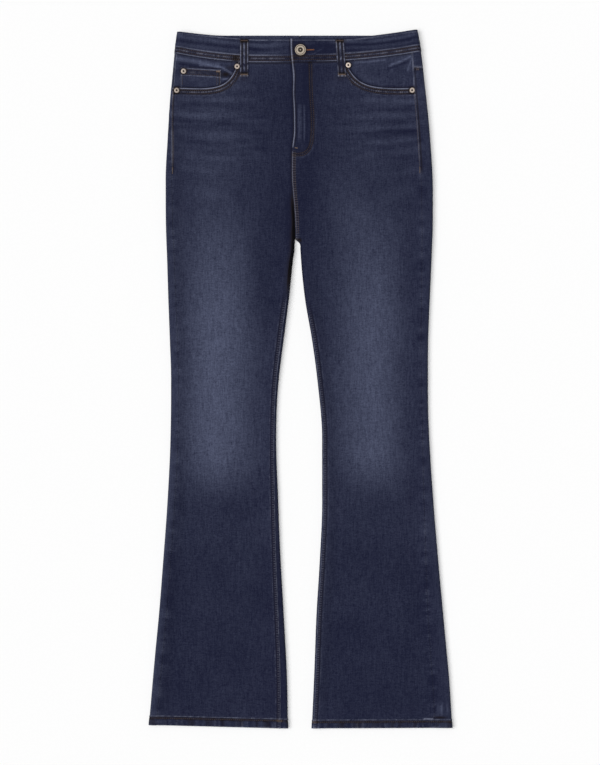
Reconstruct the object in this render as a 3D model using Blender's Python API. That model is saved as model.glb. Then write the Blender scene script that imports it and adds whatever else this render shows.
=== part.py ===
"""Flared five-pocket jeans, laid flat on their back with the front up.

Sizes are in millimetres until mesh() turns them into metres. +Y runs up to the waist, +X to the
wearer's left and +Z off the surface. Each half, a leg with its side of the hips, is one flattened
ring of cloth. A place on the ring is w, its distance round the outside: w is x on the top face,
and it goes on over the side fold, across the underside and up the inner leg fold.
"""
import math

import bmesh
import bpy
import numpy as np

# Cloth
WALL = 1.2            # one layer of denim
BAND_WALL = 2.2       # waistband, two layers
BAND_PROUD = 0.6      # the waistband stands out from the panels it is sewn over
HEM_WALL = 2.3        # turned hem, cloth on cloth
HEM_DEPTH = 13.5
SEAM_GAP = 0.3
UNDER = 0.5           # clearance of a layer that lies under another

# Form
LENGTH_HALF = 550.0
CROTCH = 219.0        # where the four leg seams meet
CROTCH_X = -8.0
FOLD = 4.5            # radius of the side folds
FALL = 30.0           # the front comes down off a side fold in this distance
FALL_IN = 24.0        # and off an inner leg fold in this one

# The side folds' edges: distance from the middle, for each leg
SIDES = (
    # along, right, left
    (-550, 239.1, 239.1),
    (-474, 232.8, 234.2),
    (-379, 224.0, 225.5),
    (-285, 216.4, 216.9),
    (-190, 209.6, 209.0),
    (-96, 205.2, 202.9),
    (-1, 204.1, 200.5),
    (62, 206.0, 201.0),
    (125, 208.4, 203.5),
    (188, 210.4, 206.2),
    (251, 212.2, 208.2),
    (314, 212.6, 208.1),
    (377, 209.5, 204.3),
    (440, 205.5, 198.3),
    (471, 202.4, 195.0),
    (514, 198.3, 190.0),
    (551, 193.6, 183.6),
)

# The inner leg folds' edges, below the crotch
INNER = (
    # along, right, left
    (-550, 20.0, 17.6),
    (-474, 21.3, 21.1),
    (-379, 26.1, 24.7),
    (-285, 31.5, 30.2),
    (-190, 35.4, 34.0),
    (-96, 38.3, 34.0),
    (-1, 34.9, 26.3),
    (62, 27.8, 18.1),
    (125, 19.6, 7.1),
    (188, 12.4, 0.7),
    (204, 9.6, -0.4),
    (214, 9.3, -1.4),
    (217, 8.9, -3.8),
    (219, 8.2, -7.8),
)

# Leg seams on the top face: how far in from the fold's edge
LEG_SEAMS = (
    # along, out_right, out_left, in_right, in_left
    (-550, 12.0, 27.0, 11.5, 2.4),
    (-400, 12.0, 25.0, 8.8, 2.3),
    (-200, 12.0, 15.0, 5.2, 1.9),
    (-60, 12.0, 10.0, 3.0, 1.8),
    (100, 12.0, 12.0, 3.0, 1.8),
    (216, 11.0, 16.0, 2.4, 2.0),
    (330, 9.0, 18.3, 0.0, 0.0),
    (420, 3.6, 17.0, 0.0, 0.0),
    (470, 2.2, 15.8, 0.0, 0.0),
    (551, 2.2, 12.0, 0.0, 0.0),
)

# Centre front line, which is the fly's edge above the stitched seam
CENTRE_FRONT = (
    # along, x
    (219, -8.0),
    (232, -8.3),
    (262, -9.2),
    (290, -11.6),
    (314, -13.5),
    (355, -13.6),
    (368, -12.8),
    (384, -10.7),
    (412, -10.4),
    (430, -10.9),
    (452, -12.1),
    (477, -11.3),
    (496, -13.4),
    (514, -15.3),
    (530, -15.9),
    (551, -15.9),
)

# Heights off the surface
HEIGHTS = (
    # along, rest, top
    (-550, 0.0, 6.2),
    (-530, 0.0, 6.0),
    (-500, 0.0, 3.8),
    (120, 0.0, 3.8),
    (216, 1.0, 5.4),
    (262, 1.5, 6.3),
    (430, 1.5, 6.5),
    (500, 2.3, 7.2),
    (551, 2.3, 7.2),
)

# Waist lines: lower seam and top edge, at the side fold and in the middle of front and back
WAIST = {
    "right": {"seam_side": 512.7, "seam_front": 499.0, "seam_back": 503.0, "flat": 0.36,
              "top_side": 547.0, "top_front": 536.3, "top_back": 541.3},
    "left": {"seam_side": 515.5, "seam_front": 500.4, "seam_back": 503.0, "flat": 0.15,
             "top_side": 550.2, "top_front": 536.3, "top_back": 541.3},
}

# Pocket openings: a curve that drops from the waist and runs out level to the side
POCKETS = {
    "right": {"start": 99.6, "drop": 43.2, "reach": 13.6},
    "left": {"start": 72.2, "drop": 42.9, "reach": 17.5},
}
FACING_WALL = 1.0
FACING_LAP = 12.0     # the facing runs on under the front by this much

HIP_ROW = 415.0       # rows are level below this

YOKE_SIDE = 492.0
YOKE_MIDDLE = 440.0

LOOP_WIDTH = 13.2
LOOP_WALL = 1.4
BUTTON_RADIUS = 8.7
RIVET_RADIUS = 4.4

MATERIALS = {
    "denim": ((0.020, 0.026, 0.062, 1.0), 0.0, 0.9),
    "metal": ((0.38, 0.32, 0.27, 1.0), 1.0, 0.4),
}


def column(table, index):
    """A smooth curve through one column of a table, as a function of the distance along."""
    xs = np.array([row[0] for row in table], float)
    ys = np.array([row[index] for row in table], float)
    step = np.diff(xs)
    rise = np.diff(ys) / step
    inner = (rise[1:] * step[:-1] + rise[:-1] * step[1:]) / (step[1:] + step[:-1])
    inner = np.where(rise[1:] * rise[:-1] > 0, inner, 0.0)
    slope = np.concatenate(([rise[0]], inner, [rise[-1]]))

    def at(x):
        x = np.asarray(x, float)
        k = np.clip(np.searchsorted(xs, x, "right") - 1, 0, len(step) - 1)
        t = np.clip((x - xs[k]) / step[k], 0.0, 1.0)
        a = (1 + 2 * t) * (1 - t) ** 2 * ys[k] + t * t * (3 - 2 * t) * ys[k + 1]
        b = t * (1 - t) ** 2 * slope[k] - t * t * (1 - t) * slope[k + 1]
        return a + b * step[k]

    return at


rest = column(HEIGHTS, 1)
top_mid = column(HEIGHTS, 2)
centre_x = column(CENTRE_FRONT, 1)


def ease(t):
    t = np.clip(t, 0.0, 1.0)
    return t * t * (3 - 2 * t)


class Half:
    """One leg and its side of the hips, worked out with its outer side towards +X."""

    def __init__(self, side):
        k = 1 if side == "right" else 2
        self.side = side
        self.sign = -1.0 if side == "right" else 1.0
        self.edge = column(SIDES, k)
        self.inner = column(INNER, k)
        self.out_seam = column(LEG_SEAMS, k)
        self.in_seam = column(LEG_SEAMS, k + 2)
        self.waist = WAIST[side]
        self.pocket = POCKETS[side]

    def fold_in(self, y):
        """Radius of the inner leg fold, which starts at the crotch as flat as the layers are."""
        start = (top_mid(CROTCH) - rest(CROTCH)) / 2
        return start + (4.3 - start) * ease((CROTCH - y) / 90.0)

    def crest(self, y):
        return self.edge(y) - FOLD

    def crest_in(self, y):
        return self.inner(y) + self.fold_in(y)

    def centre_front(self, y):
        return self.sign * centre_x(y)

    def centre_back(self, y):
        return self.sign * (CROTCH_X + (y - CROTCH) / 335.0 * 7.0)

    def top(self, x, y):
        """Height and slope of the top face between its crests."""
        mid = top_mid(y)
        t = np.clip((self.crest(y) - x) / FALL, 0.0, 1.0)
        rise = rest(y) + 2 * FOLD - mid
        z = mid + rise * 0.5 * (1 + np.cos(math.pi * t))
        slope = rise * 0.5 * math.pi * np.sin(math.pi * t) / FALL
        t = np.clip((x - self.crest_in(y)) / FALL_IN, 0.0, 1.0)
        rise = np.where(y < CROTCH, rest(y) + 2 * self.fold_in(y) - mid, 0.0)
        z = z + rise * 0.5 * (1 + np.cos(math.pi * t))
        slope = slope - rise * 0.5 * math.pi * np.sin(math.pi * t) / FALL_IN
        return z, slope

    def ring(self, w, y, depth):
        """Points at w round the ring and y along it, depth inside the cloth's outer face."""
        w, y, depth = np.broadcast_arrays(np.asarray(w, float), y, depth)
        out, r_in, base = self.crest(y), self.fold_in(y), rest(y)
        a = np.where(y < CROTCH, self.crest_in(y), -1e6)
        under = out + math.pi * FOLD
        turn = np.where(y < CROTCH, under + out - self.crest_in(y), 1e6)
        z, slope = self.top(w, y)
        n = 1 / np.sqrt(1 + slope * slope)
        x, nx, nz = w, -slope * n, n

        phi = (w - out) / FOLD
        on = (w > out) & (w <= under)
        x = np.where(on, out + FOLD * np.sin(phi), x)
        z = np.where(on, base + FOLD + FOLD * np.cos(phi), z)
        nx, nz = np.where(on, np.sin(phi), nx), np.where(on, np.cos(phi), nz)

        on = w > under
        x = np.where(on, out - (w - under), x)
        z, nx, nz = np.where(on, base, z), np.where(on, 0.0, nx), np.where(on, -1.0, nz)

        phi = np.where(w < a, (a - w) / r_in, (turn - w) / r_in + math.pi)
        on = ((w < a) | (w > turn)) & (phi >= 0)
        x = np.where(on, a - r_in * np.sin(phi), x)
        z = np.where(on, base + r_in + r_in * np.cos(phi), z)
        nx, nz = np.where(on, -np.sin(phi), nx), np.where(on, np.cos(phi), nz)

        over = (w > turn) & (phi < 0)
        x = np.where(over, a + w - turn - math.pi * r_in, x)
        high, lean = self.top(x, y)
        n = 1 / np.sqrt(1 + lean * lean)
        z = np.where(over, high, z)
        nx, nz = np.where(over, -lean * n, nx), np.where(over, n, nz)
        return np.stack([self.sign * (x - depth * nx), y, z - depth * nz], -1)

    def w_outseam(self, y):
        """Where the outseam lies: on the top face, or on the fold if it is close to the edge."""
        gap = self.out_seam(y)
        turned = np.arcsin(np.clip(1 - gap / FOLD, 0.0, 1.0)) * FOLD
        return np.where(gap < FOLD, self.crest(y) + turned, self.edge(y) - gap)

    def w_inseam(self, y):
        gap, r = self.in_seam(y), self.fold_in(y)
        turned = np.arcsin(np.clip(1 - gap / r, 0.0, 1.0)) * r
        return np.where(gap < r, self.crest_in(y) - turned, self.inner(y) + gap)

    def w_front_edge(self, y):
        """Inner edge of the front: the fly and centre seam, then the inseam."""
        fly = self.centre_front(y)
        return np.where(y >= CROTCH, fly, self.w_inseam(np.minimum(y, CROTCH)))

    def w_under(self, y):
        """Where the underside starts, past the side fold."""
        return self.crest(y) + math.pi * FOLD

    def w_at_x_under(self, x, y):
        """w of the point at x on the underside."""
        return self.w_under(y) + self.crest(y) - x

    def waist_line(self, which, part, f):
        """Waist seam or top edge, f being 0 in the middle and 1 at the side fold."""
        side, mid = self.waist[which + "_side"], self.waist[which + "_" + part]
        flat, power = 0.62, 1.6
        if part == "front":
            flat, power = (self.waist["flat"], 1.7) if which == "seam" else (0.36, 1.25)
        return mid + (side - mid) * np.clip((f - flat) / (1 - flat), 0.0, 1.0) ** power

    def seam_front(self, x):
        return self.waist_line("seam", "front", np.clip(x / self.crest(514.0), 0.0, 1.0))

    def pocket_line(self, x, lap=0.0):
        """Height of the pocket opening at x; lap moves it down and in, as the facing lies."""
        p = self.pocket
        run = np.maximum(x - p["start"] + 1.5 + lap, 0.0)
        drop = (p["drop"] + lap) * (1 - np.exp(-run / p["reach"]))
        side = 1.2 * ease((x - 145.0) / 45.0)
        return np.minimum(self.seam_front(x), 500.6 - drop + side)

    def hem_skew(self, y, w, w0, w1):
        """The hem runs a little lower towards the inner leg."""
        low = {"right": 5.2, "left": 0.8}[self.side]
        f = np.clip((w - w0) / (w1 - w0), 0.0, 1.0)
        return y + low * f * ease((-430 - y) / 100.0)


def wall(y):
    """Thickness of a leg, which doubles over the turned hem."""
    return WALL + (HEM_WALL - WALL) * ease((-LENGTH_HALF + HEM_DEPTH + 1.0 - y) / 1.0)


def mesh(name, verts, faces, material):
    me = bpy.data.meshes.new(name)
    me.from_pydata([tuple(float(c) * 0.001 for c in v) for v in verts], [], faces)
    bm = bmesh.new()
    bm.from_mesh(me)
    bmesh.ops.remove_doubles(bm, verts=bm.verts, dist=1e-6)
    bmesh.ops.triangulate(bm, faces=bm.faces[:])
    bm.to_mesh(me)
    bm.free()
    ob = bpy.data.objects.new(name, me)
    bpy.context.scene.collection.objects.link(ob)
    me.materials.append(finish(name, material))
    return ob


def finish(name, material):
    color, metallic, roughness = MATERIALS[material]
    mat = bpy.data.materials.new(name)
    mat.use_nodes = True
    shader = mat.node_tree.nodes["Principled BSDF"]
    shader.inputs["Base Color"].default_value = color
    shader.inputs["Metallic"].default_value = metallic
    shader.inputs["Roughness"].default_value = roughness
    return mat


def slab(name, outer, inner, flip, keep=None, material="denim"):
    """Closed wall between two grids of points. keep says which cells of the grid are cloth."""
    rows, cols = outer.shape[:2]
    if keep is None:
        keep = np.ones((rows - 1, cols - 1), bool)
    half = rows * cols
    faces, edges = [], {}
    for i in range(rows - 1):
        for j in range(cols - 1):
            if keep[i, j]:
                a = i * cols + j
                quad = (a, a + 1, a + cols + 1, a + cols)
                faces.append(quad)
                faces.append(tuple(half + v for v in reversed(quad)))
                for k in range(4):
                    edges[(quad[k], quad[(k + 1) % 4])] = True
    for a, b in edges:
        if (b, a) not in edges:
            faces.append((b, a, half + a, half + b))
    if flip:
        faces = [tuple(reversed(f)) for f in faces]
    verts = np.concatenate([outer.reshape(-1, 3), inner.reshape(-1, 3)])
    used = sorted({v for f in faces for v in f})
    number = {v: k for k, v in enumerate(used)}
    faces = [tuple(number[v] for v in f) for f in faces]
    return mesh(name, verts[used], faces, material)


def cloth(name, half, w, y, outer, thick, keep=None):
    """A panel on the ring, its outer face at depth outer and thick deep."""
    a = half.ring(w, y, outer)
    b = half.ring(w, y, np.asarray(outer) + thick)
    return slab(name, a, b, half.side == "right", keep)


def leg_rows():
    """Distances along for the rows of a leg, closest at the hem and the crotch."""
    low = [-550.0, -LENGTH_HALF + HEM_DEPTH, -LENGTH_HALF + HEM_DEPTH + 1.0, -510.0]
    mid = list(np.linspace(-465.0, 140.0, 12))
    high = [178.0, 204.0, 213.5, CROTCH - 0.2, CROTCH + 4.0, 232.0, 262.0, 314.0, 368.0, HIP_ROW]
    return np.array(low + mid + high)


def side_rows(half):
    """Heights up the side, from the last level row to the pocket's end, shared by front and back."""
    end = float(half.pocket_line(190.0)) - SEAM_GAP / 2
    return HIP_ROW + (end - HIP_ROW) * np.array([0.3, 0.62, 0.86, 1.0])


def front(half):
    """Front leg: rows are level up to the hips, then bend to the pocket and the waist seam."""
    low = leg_rows()
    blend = (side_rows(half) - HIP_ROW) / (side_rows(half)[-1] - HIP_ROW)
    rows = len(low) + len(blend)
    spread = np.array([0.0, 0.03, 0.07, 0.13, 0.22, 0.35, 0.5, 0.65, 0.79, 0.89, 0.955, 1.0])
    p = half.pocket["start"]
    w = np.zeros((rows, len(spread)))
    y = np.zeros_like(w)
    for i in range(rows):
        base = low[min(i, len(low) - 1)]
        lower_edge = half.w_front_edge(base) + SEAM_GAP / 2
        outer_edge = half.w_outseam(base) - SEAM_GAP / 2
        w[i] = lower_edge + (outer_edge - lower_edge) * spread
        y[i] = half.hem_skew(base, w[i], lower_edge, outer_edge)
        if i >= len(low):
            s = blend[i - len(low)]
            outer = half.w_outseam(457.0) - SEAM_GAP / 2
            inner = half.centre_front(457.0 + 40.0 * s) + SEAM_GAP / 2
            cut = p - 1.0
            stops = [inner, inner + 0.35 * (cut - inner), inner + 0.75 * (cut - inner), cut,
                     p + 2.5, p + 7.0, p + 14.0, p + 26.0, p + 45.0, outer - 24.0, outer - 10.0, outer]
            at_top = np.array([float(v) for v in stops])
            line = np.where(at_top > cut + 0.1, half.pocket_line(at_top), half.seam_front(at_top))
            line = line - SEAM_GAP / 2
            mix = ease(s * 1.6)
            w[i] = w[i] + (at_top - w[i]) * mix
            y[i] = HIP_ROW + (line - HIP_ROW) * s
            w[i, 0] = half.centre_front(y[i, 0]) + SEAM_GAP / 2
            w[i, -1] = half.w_outseam(y[i, -1]) - SEAM_GAP / 2
    return cloth("front_" + half.side, half, w, y, 0.0, wall(y))


def back_columns(half, y, inner_turn):
    """w of a back row: the outseam strip, the side fold, the underside, and the inner leg fold."""
    start = half.w_outseam(y) + SEAM_GAP / 2
    under = half.w_under(y)
    fold = start + (under - start) * np.linspace(0, 1, 8)
    if inner_turn:
        turn = under + half.crest(y) - half.crest_in(y)
        r = half.fold_in(y)
        end = turn + math.pi * r + (half.w_inseam(y) - half.crest_in(y)) - SEAM_GAP / 2
    else:
        turn = half.w_at_x_under(half.centre_back(y) + SEAM_GAP / 2, y)
        end = turn
    flat = under + (turn - under) * np.linspace(0, 1, 6)[1:]
    wrap = turn + (end - turn) * np.linspace(0, 1, 8)[1:]
    return np.concatenate([fold, flat, wrap])


def yoke_line(half, w, y_side, y_mid):
    """Yoke seam: level round the fold, then down to the centre back."""
    under = half.w_under(y_side)
    mid = half.w_at_x_under(half.centre_back(y_mid), y_mid)
    f = np.clip((w - under - 6.0) / (mid - under - 6.0), 0.0, 1.0)
    return y_side + (y_mid - y_side) * ease(f) ** 0.8


def back(half):
    low = leg_rows()
    blend = (np.append(side_rows(half), [475.0, YOKE_SIDE]) - HIP_ROW) / (YOKE_SIDE - HIP_ROW)
    rows = len(low) + len(blend)
    first = back_columns(half, low[0], True)
    w = np.zeros((rows, len(first)))
    y = np.zeros_like(w)
    for i in range(rows):
        base = low[min(i, len(low) - 1)]
        w[i] = back_columns(half, base, base < CROTCH)
        y[i] = base
        if base < 0:
            pts = half.ring(w[i], np.full_like(w[i], base), 0.0)
            x = half.sign * pts[:, 0]
            y[i] = half.hem_skew(base, x, half.inner(base), half.edge(base))
        if i >= len(low):
            s = blend[i - len(low)]
            seam = back_columns(half, 470.0, False)
            line = yoke_line(half, seam, YOKE_SIDE, YOKE_MIDDLE) - SEAM_GAP / 2
            y[i] = HIP_ROW + (line - HIP_ROW) * s
            w[i] = seam * s + w[i] * (1 - s)
            w[i, 0] = half.w_outseam(y[i, 0]) + SEAM_GAP / 2
            last = float(y[i, 12])
            w[i, 12:] = half.w_at_x_under(half.centre_back(last) + SEAM_GAP / 2, last)
    keep = np.ones((rows - 1, w.shape[1] - 1), bool)
    above = np.array([low[min(i + 1, len(low) - 1)] > CROTCH for i in range(rows - 1)])
    keep[above, 12:] = False
    return cloth("back_" + half.side, half, w, y, 0.0, wall(y), keep)


def yoke(half):
    start = back_columns(half, 470.0, False)[:13]
    rows = 4
    w = np.zeros((rows, 13))
    y = np.zeros_like(w)
    for i in range(rows):
        s = i / (rows - 1)
        low = yoke_line(half, start, YOKE_SIDE, YOKE_MIDDLE) + SEAM_GAP / 2
        high = band_line(half, "seam", start, 490.0) - SEAM_GAP / 2
        y[i] = low + (high - low) * s
        w[i] = start * (1 - s) + back_columns(half, float(y[i, 0]), False)[:13] * s
        w[i, 0] = half.w_outseam(y[i, 0]) + SEAM_GAP / 2
        w[i, -1] = half.w_at_x_under(half.centre_back(y[i, -1]) + SEAM_GAP / 2, y[i, -1])
    return cloth("yoke_" + half.side, half, w, y, 0.0, WALL)


def band_line(half, which, w, y):
    """Waist seam or top edge at w round the waist."""
    top = half.waist_line(which, "front", np.clip(w / half.crest(y), 0.0, 1.0))
    x_under = half.crest(y) - (w - half.w_under(y))
    low = half.waist_line(which, "back", np.clip(x_under / half.crest(y), 0.0, 1.0))
    side = half.waist[which + "_side"]
    return np.where(w < half.crest(y), top, np.where(w > half.w_under(y), low, side))


def band_columns(half, y):
    front_edge = half.centre_front(y) + SEAM_GAP / 2
    out, under = half.crest(y), half.w_under(y)
    last = half.w_at_x_under(half.centre_back(y) + SEAM_GAP / 2, y)
    across = front_edge + (out - front_edge) * np.array([0, 0.2, 0.4, 0.55, 0.7, 0.82, 0.9, 0.96, 1])
    fold = out + (under - out) * np.linspace(0, 1, 6)[1:]
    back_part = under + (last - under) * np.array([0.06, 0.14, 0.26, 0.4, 0.65, 1.0])
    return np.concatenate([across, fold, back_part])


def waistband(half):
    rows = 4
    first = band_columns(half, 530.0)
    w = np.zeros((rows, len(first)))
    y = np.zeros_like(w)
    for i in range(rows):
        s = i / (rows - 1)
        low = band_line(half, "seam", first, 530.0) + SEAM_GAP / 2
        high = band_line(half, "top", first, 530.0)
        y[i] = low + (high - low) * s
        for j in range(len(first)):
            w[i, j] = band_columns(half, float(y[i, j]))[j]
    return cloth("waistband_" + half.side, half, w, y, -BAND_PROUD, BAND_WALL)


def facing(half):
    """Denim that closes the pocket opening, running on under the front."""
    start = half.pocket["start"] - 8.0
    rows, cols = 5, 11
    w = np.zeros((rows, cols))
    y = np.zeros_like(w)
    spread = np.array([0, 0.05, 0.12, 0.22, 0.36, 0.54, 0.7, 0.82, 0.9, 0.95, 1.0])
    for i in range(rows):
        end = half.w_outseam(458.0) - SEAM_GAP / 2
        at = start + (end - start) * spread
        low = np.minimum(half.pocket_line(at, FACING_LAP), half.seam_front(at) - 3.0)
        high = half.seam_front(at) - SEAM_GAP
        y[i] = low + (high - low) * i / (rows - 1)
        w[i] = at
        w[i, -1] = half.w_outseam(y[i, -1]) - SEAM_GAP / 2 - (0.8 if y[i, -1] < 458.0 else 0.0)
    return cloth("facing_" + half.side, half, w, y, WALL + UNDER, FACING_WALL)


def coin_pocket(half):
    """Small pocket on the facing, which the front's edge crosses."""
    left, right = 188.5, 125.5
    rows, cols = 4, 8
    w = np.zeros((rows, cols))
    y = np.zeros_like(w)
    at = right + (left - right) * np.linspace(0, 1, cols)
    top_line = 487.0 + (at - right) / (left - right) * 3.6
    low = half.pocket_line(at) + 1.3
    for i in range(rows):
        w[i] = at
        y[i] = low + (top_line - low) * i / (rows - 1)
    return cloth("coin_pocket", half, w, y, WALL + UNDER - 1.45, 1.0)


def loop_front(half, x_top, x_low, y_top=536.4, y_low=476.6):
    """Belt loop over the waistband, down onto the front below it."""
    rows, cols = 8, 3
    w = np.zeros((rows, cols))
    y = np.zeros_like(w)
    depth = np.zeros_like(w)
    for i in range(rows):
        s = i / (rows - 1)
        y[i] = y_low + (y_top - y_low) * s
        mid = x_low + (x_top - x_low) * s
        w[i] = mid + LOOP_WIDTH * np.linspace(-0.5, 0.5, cols)
        on_band = ease((y[i] - 488.0) / 9.0)
        depth[i] = -(UNDER + LOOP_WALL) - (BAND_PROUD) * on_band
    return cloth("loop_front_" + half.side, half, w, y, depth, LOOP_WALL)


def plate(name, outline, low, high):
    """Flat pad with a given outline, lying on the surface."""
    n = len(outline)
    verts = [(x, y, low) for x, y in outline] + [(x, y, high) for x, y in outline]
    faces = [tuple(reversed(range(n))), tuple(range(n, 2 * n))]
    faces += [(k, (k + 1) % n, n + (k + 1) % n, n + k) for k in range(n)]
    return mesh(name, verts, faces, "denim")


def back_pocket(half):
    """Patch pocket under the seat: level top, sides drawn in, and a point below."""
    outline = [(36, 436), (46, 314), (108, 294), (170, 318), (176, 446)]
    pts = [(half.sign * x, y) for x, y in outline]
    if half.sign < 0:
        pts.reverse()
    area = sum(a[0] * b[1] - b[0] * a[1] for a, b in zip(pts, pts[1:] + pts[:1]))
    if area < 0:
        pts.reverse()
    return plate("back_pocket_" + half.side, pts, 0.0, 1.1)


def loop_back(name, x):
    h = LOOP_WIDTH / 2
    plate("loop_back_" + name, [(x - h, 479), (x + h, 479), (x + h, 541), (x - h, 541)], 0.0, LOOP_WALL)


def fly_zip(half):
    """Closed zip on its tape, flat under the fly."""
    y = np.repeat(np.linspace(392.0, 494.0, 4)[:, None], 3, 1)
    w = np.repeat(np.array([[-6.0, 6.0, 18.0]]), 4, 0)
    return cloth("fly_zip", half, w, y, WALL + UNDER, 1.0)


def turned(name, half, x, y, lift, profile, around=16):
    """Round metal piece: a closed profile of (radius, height) spun about the cloth's normal."""
    foot = half.ring(x * half.sign, y, 0.0).reshape(3)
    tip = half.ring(x * half.sign, y, -1.0).reshape(3)
    up = (tip - foot) / np.linalg.norm(tip - foot)
    side = np.cross((0.0, 1.0, 0.0), up)
    side = side / np.linalg.norm(side)
    ahead = np.cross(up, side)
    verts, faces = [foot + up * (lift + profile[0][1])], []
    for radius, height in profile[1:-1]:
        for k in range(around):
            a = 2 * math.pi * k / around
            verts.append(foot + up * (lift + height) + radius * (side * math.cos(a) + ahead * math.sin(a)))
    verts.append(foot + up * (lift + profile[-1][1]))
    rings = len(profile) - 2
    last = len(verts) - 1
    for k in range(around):
        n = (k + 1) % around
        faces.append((0, 1 + n, 1 + k))
        for r in range(rings - 1):
            a, b = 1 + r * around, 1 + (r + 1) * around
            faces.append((a + k, a + n, b + n, b + k))
        faces.append((1 + (rings - 1) * around + k, 1 + (rings - 1) * around + n, last))
    return mesh(name, verts, faces, "metal")


def rivet(name, half, x, y, lift=0.45):
    r = RIVET_RADIUS
    profile = [(0, 0), (r, 0), (r, 0.5), (r * 0.8, 1.0), (r * 0.4, 1.2), (0, 1.25)]
    return turned("rivet_" + name, half, x, y, lift, profile, 12)


def button(half):
    r = BUTTON_RADIUS
    profile = [(0, 0), (5.0, 0), (5.0, 1.0), (r - 0.4, 1.2), (r, 1.9), (r - 0.8, 2.9), (r - 2.6, 3.0),
               (r - 3.4, 2.4), (2.4, 2.3), (0, 2.9)]
    return turned("button", half, -0.2, 518.6, BAND_PROUD + 0.3, profile)


def main():
    for ob in list(bpy.data.objects):
        bpy.data.objects.remove(ob, do_unlink=True)
    halves = {side: Half(side) for side in ("right", "left")}
    for half in halves.values():
        front(half)
        back(half)
        yoke(half)
        waistband(half)
        facing(half)
        back_pocket(half)
    right, left = halves["right"], halves["left"]
    coin_pocket(right)
    loop_front(right, 88.8, 88.8)
    loop_front(left, 61.3, 65.4)
    loop_back("right", -106.0)
    loop_back("centre", -1.4)
    loop_back("left", 104.0)
    fly_zip(left)
    button(left)
    rivet("right_inner", right, -99.9, 492.5)
    rivet("right_outer", right, -195.0, 454.6)
    rivet("left_inner", left, 75.3, 494.6)
    rivet("left_outer", left, 175.9, 454.9)
    rivet("coin", right, -184.2, 484.9, -0.1)


main()
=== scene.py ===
"""Flared jeans in washed indigo stretch denim, laid flat on their back with the front up.

Sizes are in millimetres until cloth() and the other makers turn them into metres. +Y runs up to
the waist, +X to the wearer's left, +Z off the surface. Each half of the jeans is one flattened ring
of cloth; w is the distance round its outside, which is x on the top face and goes on over the side
fold, across the underside and up the inner leg fold.
"""

import math

import bmesh
import bpy
import numpy as np
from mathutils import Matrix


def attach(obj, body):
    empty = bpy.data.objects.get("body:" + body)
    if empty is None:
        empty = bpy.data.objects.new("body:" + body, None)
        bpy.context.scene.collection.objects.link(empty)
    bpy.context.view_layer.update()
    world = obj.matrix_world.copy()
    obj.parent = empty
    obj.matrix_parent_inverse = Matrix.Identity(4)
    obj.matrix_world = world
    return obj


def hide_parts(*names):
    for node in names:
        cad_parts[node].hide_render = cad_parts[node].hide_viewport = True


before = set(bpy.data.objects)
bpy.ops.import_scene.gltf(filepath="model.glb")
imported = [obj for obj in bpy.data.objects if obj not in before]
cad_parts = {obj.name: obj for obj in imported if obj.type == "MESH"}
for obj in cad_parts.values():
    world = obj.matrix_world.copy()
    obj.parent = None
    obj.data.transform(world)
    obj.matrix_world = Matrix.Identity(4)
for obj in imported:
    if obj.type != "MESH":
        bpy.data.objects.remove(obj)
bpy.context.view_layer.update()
bpy.ops.object.select_all(action="DESELECT")

# ---------------------------------------------------------------- sizes, as cut

WALL = 1.2
BAND_WALL = 2.2
BAND_PROUD = 0.6
HEM_DEPTH = 13.5
SEAM_GAP = 0.3
UNDER = 0.5
HALF_LENGTH = 550.0
CROTCH = 219.0
CROTCH_X = -8.0
FOLD = 4.5
FALL = 30.0
FALL_IN = 24.0
HIP_ROW = 415.0
YOKE_SIDE = 492.0
YOKE_MIDDLE = 440.0
FACING_LAP = 12.0
LOOP_WIDTH = 13.2
LOOP_WALL = 1.4
BUTTON_AT = (-0.2, 518.6)
BACK_LOOP_FOOT = 479.0
BACK_LOOP_LENGTH = 62.0
BACK_LOOPS = (("right", -106.0), ("centre", -1.4), ("left", 104.0))

# the coin pocket: its inner side, its width, and its top edge, which rises outwards
COIN_SIDE = 125.5
COIN_WIDTH = 63.0
COIN_TOP = 487.0
COIN_RISE = 3.6
COIN_DEPTH = WALL + UNDER - 1.45

SIDES = (
    # along, right, left: the side folds' edges
    (-550, 239.1, 239.1),
    (-474, 232.8, 234.2),
    (-379, 224.0, 225.5),
    (-285, 216.4, 216.9),
    (-190, 209.6, 209.0),
    (-96, 205.2, 202.9),
    (-1, 204.1, 200.5),
    (62, 206.0, 201.0),
    (125, 208.4, 203.5),
    (188, 210.4, 206.2),
    (251, 212.2, 208.2),
    (314, 212.6, 208.1),
    (377, 209.5, 204.3),
    (440, 205.5, 198.3),
    (471, 202.4, 195.0),
    (514, 198.3, 190.0),
    (551, 193.6, 183.6),
)
INNER = (
    # along, right, left: the inner leg folds' edges
    (-550, 20.0, 17.6),
    (-474, 21.3, 21.1),
    (-379, 26.1, 24.7),
    (-285, 31.5, 30.2),
    (-190, 35.4, 34.0),
    (-96, 38.3, 34.0),
    (-1, 34.9, 26.3),
    (62, 27.8, 18.1),
    (125, 19.6, 7.1),
    (188, 12.4, 0.7),
    (204, 9.6, -0.4),
    (214, 9.3, -1.4),
    (217, 8.9, -3.8),
    (219, 8.2, -7.8),
)
LEG_SEAMS = (
    # along, out_right, out_left, in_right, in_left: how far in from the fold's edge
    (-550, 12.0, 27.0, 11.5, 2.4),
    (-400, 12.0, 25.0, 8.8, 2.3),
    (-200, 12.0, 15.0, 5.2, 1.9),
    (-60, 12.0, 10.0, 3.0, 1.8),
    (100, 12.0, 12.0, 3.0, 1.8),
    (216, 11.0, 16.0, 2.4, 2.0),
    (330, 9.0, 18.3, 0.0, 0.0),
    (420, 3.6, 17.0, 0.0, 0.0),
    (470, 2.2, 15.8, 0.0, 0.0),
    (551, 2.2, 12.0, 0.0, 0.0),
)
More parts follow.
